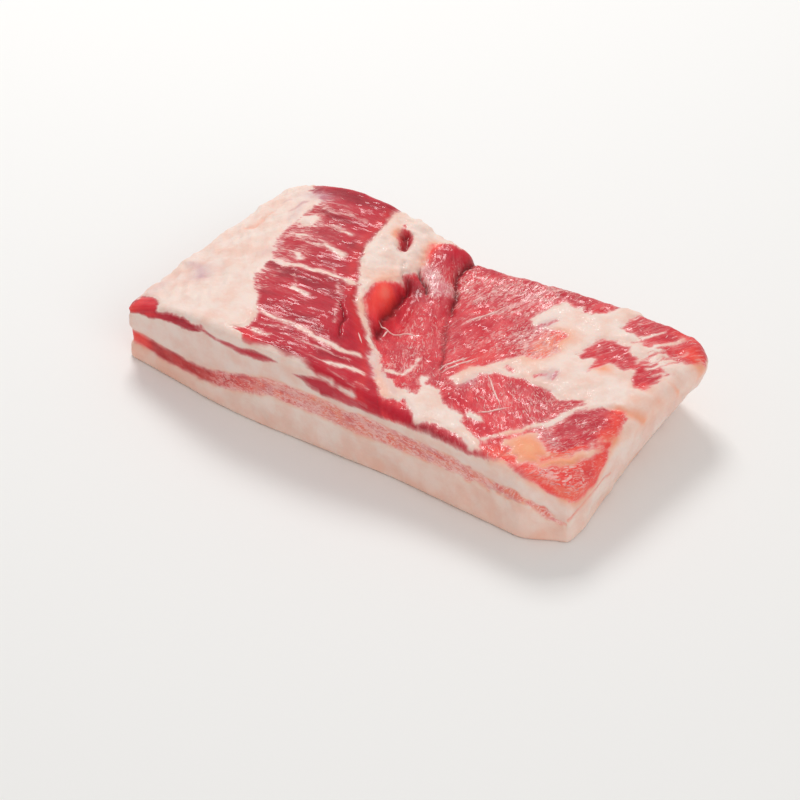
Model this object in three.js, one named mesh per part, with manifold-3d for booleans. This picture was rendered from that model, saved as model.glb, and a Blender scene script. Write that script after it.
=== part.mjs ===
import * as THREE from "three";
import Module from "manifold-3d";

// Raw belly slab lying on its fat side: layers of fat and lean, a rough muscle face on top.
// Millimetres. +X runs along the slab, +Y to its back side, +Z up, z = 0 on the underside.

// Plan of the slab.
const LEFT_END = -118.7;
const RIGHT_END = 118.8;
const FRONT_SIDE = -61;
const BACK_SIDE = 59.2;
const CORNER_RADII = [4.5, 4, 13, 9];
const CORNER_CUT = 9;
const CORNER_CUT_START = 97;

// Edges between the top face and the cut sides, and around the foot.
const RIM = { front: 4, right: 8, frontRight: 3.5, back: 5, left: 3 };
const FOOT_RADIUS = 2;
const TUCK_DEPTH = 16;
const TUCK_RUN = 104;
const TUCK_START = -38;
const TUCK_HEIGHTS = [14, 28];

// Heights of the top face.
const END_HEIGHT = 28.5;
const HUMP_FRONT = 45.2;
const HUMP_BACK = 45.6;
const FRONT_PLATEAU = 36.2;
const BACK_PLATEAU = 32.6;
const BACK_PLATEAU_RISE = 4.6;
const RAMP_POWER = 1.8;

// Where the hump starts to fall and reaches the plateau: pairs of y and x.
const FALL_START = [[-62, -20], [-30, -25], [0, -34], [30, -48], [60, -58]];
const FALL_END = [[-62, 56], [-30, 10], [0, -6], [30, -6], [60, -4]];

// Swellings and creases of the top face: centre, half length, half width, turn and height.
const RELIEF = [
  { name: "smooth lobe", x: -20, y: 2, long: 13, wide: 6, turn: -70, height: 3 },
  { name: "fat ridge", x: -36, y: 50, long: 16, wide: 6, turn: -75, height: 1.2 },
  { name: "back roll", x: -15, y: 46, long: 22, wide: 7, turn: -67, height: 4 },
  { name: "fat lump", x: 28, y: -45, long: 16, wide: 7, turn: -12, height: 2.2 },
  { name: "deep crease", x: -9, y: -1, long: 24, wide: 5, turn: -70, height: -4 },
  { name: "long crease", x: 5, y: 24, long: 34, wide: 5, turn: -67, height: -1.8 },
  { name: "end fat", x: 82, y: 12, long: 26, wide: 9, turn: 8, height: 1.2 },
  { name: "corner fall", x: 122, y: -50, long: 14, wide: 26, turn: 0, height: -9 },
  { name: "back edge", x: 32, y: 58, long: 38, wide: 12, turn: -4, height: 2.4 },
  { name: "roll tip", x: -13, y: 61, long: 9, wide: 6, turn: -67, height: 2.2 },
  { name: "ridge notch", x: -49, y: 60, long: 9, wide: 5, turn: -75, height: -1.6 },
];

// Heights of the layers at the front side: pairs of x and z.
const BASE_TOP = [
  [-119, 8], [-98, 8.3], [-75, 9.2], [-53, 13.5], [-31, 18.9],
  [12, 17.5], [40, 18.5], [79, 19.5], [102, 18.5], [109, 13.5], [114, 9.5], [119, 9],
];
const STREAK_TOP = [
  [-119, 16], [-75, 16.9], [-53, 22.2], [-31, 28.5],
  [12, 28], [38, 27.5], [59, 27.2], [79, 25.6], [102, 23.5], [109, 18], [114, 13], [119, 12],
];
const UPPER_STREAK_LOW = [[-119, 24], [-98, 28.7], [-75, 36.3], [-53, 35.2], [-34, 37]];
const UPPER_STREAK_HIGH = [[-119, 30], [-98, 33], [-75, 41], [-53, 38.6], [-34, 38.6]];
const UPPER_STREAK_END = -34;
const UPPER_STREAK_DROP = 7.5;

// Where the upper muscle starts on the top face: pairs of y and x. Its depth at the front: x and depth.
const LEAN_EDGE = [
  [-62, -60], [-48, -52], [-40, -57], [-30, -68], [-20, -77],
  [0, -80], [10, -86], [20, -91], [45, -89], [60, -104],
];
const LEAN_FRONT_DEPTH = [
  [-60, 2], [-22, 3], [-15, 7], [-9, 13], [0, 12.6], [12, 10],
  [27, 7], [38, 4.5], [60, 3], [85, 3.6], [119, 4.6],
];
const LEAN_DEPTH_LEFT = 8;
const LEAN_DEPTH_RIGHT = 5.5;
const LEAN_EDGE_WIDTH = 14;
const SEAM_LEAST = 2.5;
const LAYER_DIP = 4;

// Gap between neighbouring layers, and how finely the faces are divided.
const GAP = 0.3;
const TOP_DIVISIONS = [36, 20];
const LAYER_DIVISIONS = [14, 6];
const RIM_STEPS = 3;
const WALL_STEPS = 3;
const CUT_MARGIN = 14;

function clamp01(t) {
  return Math.min(1, Math.max(0, t));
}

function lerp(a, b, t) {
  return a + (b - a) * t;
}

function ease(from, to, value) {
  const t = clamp01((value - from) / (to - from));
  return t * t * (3 - 2 * t);
}

function bell(distance, width) {
  return Math.exp(-((distance / width) ** 2));
}

// Smooth curve through pairs of position and value, level outside its ends.
function curve(pairs, position) {
  const last = pairs.length - 1;
  if (position <= pairs[0][0]) {
    return pairs[0][1];
  }
  if (position >= pairs[last][0]) {
    return pairs[last][1];
  }
  let i = 0;
  while (position > pairs[i + 1][0]) {
    i += 1;
  }
  const slope = (k) => {
    const low = pairs[Math.max(0, k - 1)];
    const high = pairs[Math.min(last, k + 1)];
    return (high[1] - low[1]) / (high[0] - low[0]);
  };
  const span = pairs[i + 1][0] - pairs[i][0];
  const t = (position - pairs[i][0]) / span;
  const h00 = (1 + 2 * t) * (1 - t) * (1 - t);
  const h10 = t * (1 - t) * (1 - t);
  const h01 = t * t * (3 - 2 * t);
  const h11 = t * t * (t - 1);
  return h00 * pairs[i][1] + h10 * span * slope(i) + h01 * pairs[i + 1][1] + h11 * span * slope(i + 1);
}

// How far the sides swell out of a plain rounded rectangle.
function swell(x, y, normal) {
  const front = 4.6 * bell(x + 52, 46) - 1.2 * ease(0, 40, x);
  const back = -1 + 7.4 * ease(0, 85, x);
  const right = -1.5 * bell(y - 4, 36);
  const left = -1.2 * bell(y - 25, 18) - 2 * ease(30, 58, y);
  return (
    Math.max(0, -normal.y) ** 2 * front +
    Math.max(0, normal.y) ** 2 * back +
    Math.max(0, normal.x) ** 2 * right +
    Math.max(0, -normal.x) ** 2 * left
  );
}

// The rim is crisp at the front right corner and rounder from there to the back.
function rimRadius(point, normal) {
  const right = lerp(RIM.frontRight, RIM.right, ease(-52, -12, point.y));
  return (
    Math.max(0, -normal.y) ** 2 * RIM.front +
    Math.max(0, normal.y) ** 2 * RIM.back +
    Math.max(0, normal.x) ** 2 * right +
    Math.max(0, -normal.x) ** 2 * RIM.left
  );
}

// The right end is undercut, more and more from its front corner to its back corner.
function tuck(point, z) {
  const run = clamp01((point.y - TUCK_START) / TUCK_RUN);
  const height = lerp(TUCK_HEIGHTS[0], TUCK_HEIGHTS[1], clamp01((point.y + 10) / 60));
  return ease(70, 112, point.x) * run * TUCK_DEPTH * (1 - ease(3, height, z));
}

const DIRECTIONS = [
  new THREE.Vector2(1, 0),
  new THREE.Vector2(0, 1),
  new THREE.Vector2(-1, 0),
  new THREE.Vector2(0, -1),
];
const NORMALS = [
  new THREE.Vector2(0, -1),
  new THREE.Vector2(1, 0),
  new THREE.Vector2(0, 1),
  new THREE.Vector2(-1, 0),
];
const CORNERS = [
  new THREE.Vector2(LEFT_END, FRONT_SIDE),
  new THREE.Vector2(RIGHT_END, FRONT_SIDE),
  new THREE.Vector2(RIGHT_END, BACK_SIDE),
  new THREE.Vector2(LEFT_END, BACK_SIDE),
];

// How far the front right corner is cut back.
function cornerCut(point) {
  return CORNER_CUT * ease(CORNER_CUT_START, RIGHT_END, point.x) * ease(-22, -58, point.y);
}

// A point of the plan outline and its outward normal, t from 0 to 1 along one side between corner middles.
function outlinePoint(side, t) {
  const next = (side + 1) % 4;
  const before = (side + 3) % 4;
  const startRadius = CORNER_RADII[side];
  const endRadius = CORNER_RADII[next];
  const startArc = (startRadius * Math.PI) / 4;
  const endArc = (endRadius * Math.PI) / 4;
  const straight = CORNERS[side].distanceTo(CORNERS[next]) - startRadius - endRadius;
  const run = t * (startArc + straight + endArc);
  const point = new THREE.Vector2();
  const normal = new THREE.Vector2();
  if (run < startArc) {
    const angle = (startArc - run) / startRadius;
    normal.addScaledVector(NORMALS[side], Math.cos(angle));
    normal.addScaledVector(NORMALS[before], Math.sin(angle));
    point.copy(CORNERS[side]);
    point.addScaledVector(DIRECTIONS[side], startRadius);
    point.addScaledVector(NORMALS[side], -startRadius);
    point.addScaledVector(normal, startRadius);
  } else if (run > startArc + straight) {
    const angle = (run - startArc - straight) / endRadius;
    normal.addScaledVector(NORMALS[side], Math.cos(angle));
    normal.addScaledVector(NORMALS[next], Math.sin(angle));
    point.copy(CORNERS[next]);
    point.addScaledVector(DIRECTIONS[side], -endRadius);
    point.addScaledVector(NORMALS[side], -endRadius);
    point.addScaledVector(normal, endRadius);
  } else {
    normal.copy(NORMALS[side]);
    point.copy(CORNERS[side]);
    point.addScaledVector(DIRECTIONS[side], startRadius + run - startArc);
  }
  point.addScaledVector(normal, swell(point.x, point.y, normal));
  point.y += cornerCut(point);
  return { point, normal };
}

// The whole outline in order, counter-clockwise from the front left corner.
function outlineRing(divisions) {
  const ring = [];
  for (let side = 0; side < 4; side += 1) {
    const count = divisions[side % 2];
    for (let i = 0; i < count; i += 1) {
      ring.push(outlinePoint(side, i / count));
    }
  }
  return ring;
}

// Index in the ring of the border point at column i and row j of a grid with these divisions.
function borderIndex(i, j, divisions) {
  const [columns, rows] = divisions;
  if (j === 0) {
    return i;
  }
  if (i === columns) {
    return columns + j;
  }
  if (j === rows) {
    return columns + rows + (columns - i);
  }
  return 2 * columns + rows + (rows - j);
}

// Plan grid blended from the points of a ring, row by row from the front.
function planGrid(ringPoints, divisions) {
  const [columns, rows] = divisions;
  const at = (i, j) => ringPoints[borderIndex(i, j, divisions) % ringPoints.length];
  const grid = [];
  for (let j = 0; j <= rows; j += 1) {
    for (let i = 0; i <= columns; i += 1) {
      const u = i / columns;
      const v = j / rows;
      const point = new THREE.Vector2();
      point.addScaledVector(at(i, 0), 1 - v);
      point.addScaledVector(at(i, rows), v);
      point.addScaledVector(at(0, j), 1 - u);
      point.addScaledVector(at(columns, j), u);
      point.addScaledVector(at(0, 0), -(1 - u) * (1 - v));
      point.addScaledVector(at(columns, 0), -u * (1 - v));
      point.addScaledVector(at(0, rows), -(1 - u) * v);
      point.addScaledVector(at(columns, rows), -u * v);
      grid.push(point);
    }
  }
  return grid;
}

// Height of the top face.
function topHeight(x, y) {
  const back = clamp01((y + 60) / 120);
  const crest = lerp(-45, -70, back);
  const rise = clamp01((x - LEFT_END) / (crest - LEFT_END));
  const ramp = lerp(END_HEIGHT, lerp(HUMP_FRONT, HUMP_BACK, back), 1 - (1 - rise) ** RAMP_POWER);
  const plateau = lerp(FRONT_PLATEAU, BACK_PLATEAU + BACK_PLATEAU_RISE * ease(-5, 90, x), back);
  const fall = ease(curve(FALL_START, y), curve(FALL_END, y), x);
  let height = lerp(ramp, plateau, fall);
  for (const form of RELIEF) {
    const turn = THREE.MathUtils.degToRad(form.turn);
    const along = (x - form.x) * Math.cos(turn) + (y - form.y) * Math.sin(turn);
    const across = (y - form.y) * Math.cos(turn) - (x - form.x) * Math.sin(turn);
    height += form.height * bell(along, form.long) * bell(across, form.wide);
  }
  return height;
}

// How steeply the top face falls outwards at its border.
function outwardFall(point, normal) {
  const beyond = point.clone().addScaledVector(normal, 1);
  return Math.min(0, topHeight(beyond.x, beyond.y) - topHeight(point.x, point.y));
}

// Heights of the faces between the layers.
function layerDip(x, y) {
  return ease(-60, -25, y) * (LAYER_DIP * bell(x + 5, 60) - Math.sin(y / 24));
}

function baseTop(x, y) {
  return curve(BASE_TOP, x) - layerDip(x, y);
}

function streakTop(x, y) {
  return curve(STREAK_TOP, x) - layerDip(x, y);
}

function leanDepth(x, y) {
  const inside = x - curve(LEAN_EDGE, y);
  const body = lerp(LEAN_DEPTH_LEFT, LEAN_DEPTH_RIGHT, ease(-40, 40, x));
  const depth = lerp(curve(LEAN_FRONT_DEPTH, x), body, ease(-60, -40, y));
  return Math.max(-6, Math.min(1, inside / LEAN_EDGE_WIDTH) * depth);
}

function leanFloor(x, y) {
  return Math.max(topHeight(x, y) - leanDepth(x, y), streakTop(x, y) + SEAM_LEAST);
}

function upperStreakLow(x, y) {
  return curve(UPPER_STREAK_LOW, x) - UPPER_STREAK_DROP * ease(-57, -38, y);
}

function upperStreakHigh(x, y) {
  return curve(UPPER_STREAK_HIGH, x) - UPPER_STREAK_DROP * ease(-57, -38, y);
}

// Two triangles for every cell of a grid that starts at an index.
function gridTriangles(triangles, start, columns, rows, up) {
  const width = columns + 1;
  for (let j = 0; j < rows; j += 1) {
    for (let i = 0; i < columns; i += 1) {
      const a = start + j * width + i;
      const b = a + 1;
      const c = b + width;
      const d = a + width;
      if (up) {
        triangles.push(a, b, c, a, c, d);
      } else {
        triangles.push(a, c, b, a, d, c);
      }
    }
  }
}

const wasm = await Module();
wasm.setup();

function solidFrom(points, triangles) {
  const vertProperties = new Float32Array(points.flat());
  const triVerts = new Uint32Array(triangles);
  const mesh = new wasm.Mesh({ numProp: 3, vertProperties, triVerts });
  return new wasm.Manifold(mesh);
}

// The whole slab: top face, rounded rim, side walls and flat underside.
function buildSlab() {
  const [columns, rows] = TOP_DIVISIONS;
  const ring = outlineRing(TOP_DIVISIONS);
  const count = ring.length;
  const inset = ring.map((r) => r.point.clone().addScaledVector(r.normal, -rimRadius(r.point, r.normal)));
  const grid = planGrid(inset, TOP_DIVISIONS);
  const points = grid.map((p) => [p.x, p.y, topHeight(p.x, p.y)]);
  const triangles = [];
  gridTriangles(triangles, 0, columns, rows, true);

  const borderOrder = [];
  for (let i = 0; i < columns; i += 1) {
    borderOrder.push(i);
  }
  for (let j = 0; j < rows; j += 1) {
    borderOrder.push(j * (columns + 1) + columns);
  }
  for (let i = columns; i > 0; i -= 1) {
    borderOrder.push(rows * (columns + 1) + i);
  }
  for (let j = rows; j > 0; j -= 1) {
    borderOrder.push(j * (columns + 1));
  }

  let upper = borderOrder;
  const addRing = (place) => {
    const lower = ring.map((r, k) => {
      const { inward, z } = place(r, k);
      const p = r.point.clone().addScaledVector(r.normal, -inward);
      points.push([p.x - tuck(r.point, z), p.y, z]);
      return points.length - 1;
    });
    for (let k = 0; k < count; k += 1) {
      const next = (k + 1) % count;
      triangles.push(upper[k], lower[k], lower[next]);
      triangles.push(upper[k], lower[next], upper[next]);
    }
    upper = lower;
  };

  for (let step = 1; step <= RIM_STEPS; step += 1) {
    const angle = (step / RIM_STEPS) * (Math.PI / 2);
    addRing((r, k) => {
      const radius = rimRadius(r.point, r.normal);
      const fall = outwardFall(inset[k], r.normal) * radius * Math.sin(angle);
      const z = topHeight(inset[k].x, inset[k].y) + fall - radius * (1 - Math.cos(angle));
      return { inward: radius * (1 - Math.sin(angle)), z };
    });
  }
  for (let step = 1; step <= WALL_STEPS; step += 1) {
    addRing((r, k) => {
      const radius = rimRadius(r.point, r.normal);
      const high = topHeight(inset[k].x, inset[k].y) + (outwardFall(inset[k], r.normal) - 1) * radius;
      return { inward: 0, z: lerp(high, FOOT_RADIUS, step / WALL_STEPS) };
    });
  }
  addRing(() => ({ inward: FOOT_RADIUS, z: 0 }));

  const foot = upper.map((index) => new THREE.Vector2(points[index][0], points[index][1]));
  for (const [a, b, c] of THREE.ShapeUtils.triangulateShape(foot, [])) {
    triangles.push(upper[a], upper[c], upper[b]);
  }
  return solidFrom(points, triangles);
}

// Plan points that reach past the slab on every side, for the faces between layers.
function layerPlan(fine) {
  if (!fine) {
    const ring = outlineRing(LAYER_DIVISIONS);
    const wide = ring.map((r) => r.point.clone().addScaledVector(r.normal, CUT_MARGIN));
    return { plan: planGrid(wide, LAYER_DIVISIONS), columns: LAYER_DIVISIONS[0], rows: LAYER_DIVISIONS[1] };
  }
  const [columns, rows] = TOP_DIVISIONS;
  const ring = outlineRing(TOP_DIVISIONS);
  const inset = ring.map((r) => r.point.clone().addScaledVector(r.normal, -rimRadius(r.point, r.normal)));
  const grid = planGrid(inset, TOP_DIVISIONS);
  const plan = [];
  for (let j = -1; j <= rows + 1; j += 1) {
    for (let i = -1; i <= columns + 1; i += 1) {
      const ci = Math.min(columns, Math.max(0, i));
      const cj = Math.min(rows, Math.max(0, j));
      const point = grid[cj * (columns + 1) + ci].clone();
      point.x += (i - ci) * (CUT_MARGIN + RIM.right);
      point.y += (j - cj) * (CUT_MARGIN + RIM.right);
      plan.push(point);
    }
  }
  return { plan, columns: columns + 2, rows: rows + 2 };
}

// A closed band between two faces given as heights over one plan.
function band(layout, low, high) {
  const { plan, columns, rows } = layout;
  const size = plan.length;
  const width = columns + 1;
  const points = [];
  for (const p of plan) {
    points.push([p.x, p.y, high(p.x, p.y)]);
  }
  for (const p of plan) {
    points.push([p.x, p.y, low(p.x, p.y)]);
  }
  const triangles = [];
  gridTriangles(triangles, 0, columns, rows, true);
  gridTriangles(triangles, size, columns, rows, false);
  const edge = (a, b) => {
    triangles.push(a, a + size, b + size);
    triangles.push(a, b + size, b);
  };
  for (let i = 0; i < columns; i += 1) {
    edge(i, i + 1);
    edge(rows * width + i + 1, rows * width + i);
  }
  for (let j = 0; j < rows; j += 1) {
    edge(j * width + columns, (j + 1) * width + columns);
    edge((j + 1) * width, j * width);
  }
  return solidFrom(points, triangles);
}

// Plan of the upper streak, which thins out along the slab.
function upperStreakPlan(reach) {
  const columns = 10;
  const rows = 12;
  const plan = [];
  for (let j = 0; j <= rows; j += 1) {
    for (let i = 0; i <= columns; i += 1) {
      const x = lerp(LEFT_END - CUT_MARGIN, UPPER_STREAK_END + reach, i / columns);
      const y = lerp(FRONT_SIDE - CUT_MARGIN, BACK_SIDE + CUT_MARGIN, j / rows);
      plan.push(new THREE.Vector2(x, y));
    }
  }
  return { plan, columns, rows };
}

function nodeMesh(name, solid, color, roughness) {
  const data = solid.getMesh();
  const geometry = new THREE.BufferGeometry();
  geometry.setAttribute("position", new THREE.Float32BufferAttribute(Array.from(data.vertProperties), 3));
  geometry.setIndex(Array.from(data.triVerts));
  geometry.computeVertexNormals();
  const material = new THREE.MeshStandardMaterial({ color, roughness, metalness: 0 });
  material.name = name;
  const mesh = new THREE.Mesh(geometry, material);
  mesh.name = name;
  return mesh;
}

const slab = buildSlab();
const coarse = layerPlan(false);
const fine = layerPlan(true);
const half = GAP / 2;
const floor = () => -20;
const sky = () => 90;

const baseFat = slab.intersect(band(coarse, floor, (x, y) => baseTop(x, y) - half));
const leanStreak = slab.intersect(
  band(coarse, (x, y) => baseTop(x, y) + half, (x, y) => streakTop(x, y) - half),
);
const topLean = slab.intersect(band(fine, (x, y) => leanFloor(x, y) + half, sky));
const upperStreak = slab.intersect(band(upperStreakPlan(0), upperStreakLow, upperStreakHigh));
const fatSeam = slab
  .intersect(band(coarse, (x, y) => streakTop(x, y) + half, sky))
  .intersect(band(fine, floor, (x, y) => leanFloor(x, y) - half))
  .subtract(
    band(
      upperStreakPlan(GAP),
      (x, y) => upperStreakLow(x, y) - GAP,
      (x, y) => upperStreakHigh(x, y) + GAP,
    ),
  );

const bellySlab = new THREE.Group();
bellySlab.name = "belly_slab";
bellySlab.add(nodeMesh("base_fat", baseFat, 0xe6d2c4, 0.5));
bellySlab.add(nodeMesh("lean_streak", leanStreak, 0xc4676a, 0.45));
bellySlab.add(nodeMesh("fat_seam", fatSeam, 0xeedacd, 0.5));
bellySlab.add(nodeMesh("upper_streak", upperStreak, 0xb43a40, 0.45));
bellySlab.add(nodeMesh("top_lean", topLean, 0xbe3c46, 0.4));

export default bellySlab;
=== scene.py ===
import logging
import math
from dataclasses import dataclass, field
from enum import Enum
from typing import Any, Sequence

import bpy
import numpy as np
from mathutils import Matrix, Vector


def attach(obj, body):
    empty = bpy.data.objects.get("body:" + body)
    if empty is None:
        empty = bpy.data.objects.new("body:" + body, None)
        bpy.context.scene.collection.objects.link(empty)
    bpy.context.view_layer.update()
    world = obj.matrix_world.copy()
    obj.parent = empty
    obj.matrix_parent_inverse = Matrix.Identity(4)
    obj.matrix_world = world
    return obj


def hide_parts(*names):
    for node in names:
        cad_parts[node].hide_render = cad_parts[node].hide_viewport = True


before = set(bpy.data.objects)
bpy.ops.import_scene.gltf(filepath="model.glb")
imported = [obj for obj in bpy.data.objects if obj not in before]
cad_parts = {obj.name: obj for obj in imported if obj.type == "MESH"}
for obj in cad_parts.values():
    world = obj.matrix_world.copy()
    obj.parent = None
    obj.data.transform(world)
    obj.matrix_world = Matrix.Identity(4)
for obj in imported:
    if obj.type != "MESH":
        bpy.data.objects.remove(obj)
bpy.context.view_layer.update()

# Sizes below are millimetres in the part's own frame, and MM turns them into metres.
MM = 0.001
BODY = "root"
LOG = logging.getLogger("belly_slab")

Array = np.ndarray
Points = Sequence[tuple[float, float]]
Triple = tuple[float, float, float]
Colour = tuple[float, float, float, float]

# Large odd numbers that scramble the noise's lattice, and the bits that are kept of them.
SCRAMBLE_X, SCRAMBLE_Y, SCRAMBLE_Z, SCRAMBLE_SEED = 374761393, 668265263, 1440662683, 974634777
SCRAMBLE_AGAIN = 1274126177
KEPT_BITS = 0xFFFFFFFF


def ease(low: float | Array, high: float | Array, value: Array) -> Array:
    """Smooth step from 0 at low to 1 at high.

    Args:
        low: Value where the step starts.
        high: Value where the step ends.
        value: Values to grade.

    Returns:
        Numbers from 0 to 1.
    """
    t = np.clip((value - low) / (high - low), 0.0, 1.0)
    return t * t * (3.0 - 2.0 * t)


def bell(distance: Array, width: float) -> Array:
    """Rounded hill of height 1 that falls away over a width."""
    return np.exp(-((distance / width) ** 2))


def blend(a: float | Array, b: float | Array, t: Array) -> Array:
    """Straight mix from a to b."""
    return a + (b - a) * t


def curve(pairs: Points, position: Array) -> Array:
    """Smooth curve through pairs of position and value, level outside its ends.

    Args:
        pairs: Positions in rising order, each with its value.
        position: Where to read the curve.

    Returns:
        The curve's values.
    """
    knots = np.array(pairs, dtype=float)
    places, values = knots[:, 0], knots[:, 1]
    last = len(places) - 1
    before = np.maximum(np.arange(last + 1) - 1, 0)
    after = np.minimum(np.arange(last + 1) + 1, last)
    slopes = (values[after] - values[before]) / (places[after] - places[before])
    inside = np.clip(position, places[0], places[last])
    i = np.clip(np.searchsorted(places, inside) - 1, 0, last - 1)
    span = places[i + 1] - places[i]
    t = (inside - places[i]) / span
    start = (1 + 2 * t) * (1 - t) ** 2 * values[i] + t * (1 - t) ** 2 * span * slopes[i]
    end = t * t * (3 - 2 * t) * values[i + 1] + t * t * (t - 1) * span * slopes[i + 1]
    return start + end


@dataclass(frozen=True)
class Noise:
    """Smooth seeded noise in three dimensions, from -1 to 1."""

    seed: int
    gain: float = 0.5
    finer: float = 2.03
    shift: float = 17.3

    def lattice(self, i: Array, j: Array, k: Array) -> Array:
        """Fixed random value of each lattice point."""
        h = i * SCRAMBLE_X + j * SCRAMBLE_Y + k * SCRAMBLE_Z + self.seed * SCRAMBLE_SEED
        h = h & KEPT_BITS
        h = ((h ^ (h >> 13)) * SCRAMBLE_AGAIN) & KEPT_BITS
        h = ((h ^ (h >> 15)) * SCRAMBLE_Y) & KEPT_BITS
        return (h ^ (h >> 16)) / float(KEPT_BITS) * 2.0 - 1.0

    def at(self, x: Array, y: Array, z: Array | float = 0.0) -> Array:
        """One octave of noise.

        Args:
            x: First coordinate, one lattice cell to a unit.
            y: Second coordinate.
            z: Third coordinate.

        Returns:
            Values from -1 to 1.
        """
        x, y, z = np.broadcast_arrays(x, y, np.asarray(z, dtype=float))
        cells = [np.floor(c).astype(np.int64) for c in (x, y, z)]
        parts = [c - f for c, f in zip((x, y, z), cells)]
        weights = [p * p * p * (p * (p * 6 - 15) + 10) for p in parts]
        total = np.zeros(x.shape)
        for corner in range(8):
            bits = [(corner >> axis) & 1 for axis in range(3)]
            value = self.lattice(*[f + b for f, b in zip(cells, bits)])
            for weight, bit in zip(weights, bits):
                value = value * (weight if bit else 1.0 - weight)
            total += value
        return total

    def layers(self, x: Array, y: Array, z: Array | float = 0.0, octaves: int = 3) -> Array:
        """Several octaves of noise, each about twice as fine as the last."""
        total = np.zeros(np.broadcast(x, y, z).shape)
        strength, scale = 1.0, 1.0
        for octave in range(octaves):
            shift = self.shift * octave
            total += strength * self.at(x * scale + shift, y * scale - shift, np.asarray(z) * scale)
            strength *= self.gain
            scale *= self.finer
        return total


@dataclass(frozen=True)
class Swelling:
    """A long rounded rise of the top face, or a hollow where its height is negative."""

    name: str
    x: float
    y: float
    long: float
    wide: float
    turn: float
    height: float

    def at(self, x: Array, y: Array) -> Array:
        """Rise of the face at plan points."""
        turn = math.radians(self.turn)
        along = (x - self.x) * math.cos(turn) + (y - self.y) * math.sin(turn)
        across = (y - self.y) * math.cos(turn) - (x - self.x) * math.sin(turn)
        return self.height * bell(along, self.long) * bell(across, self.wide)


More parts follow.
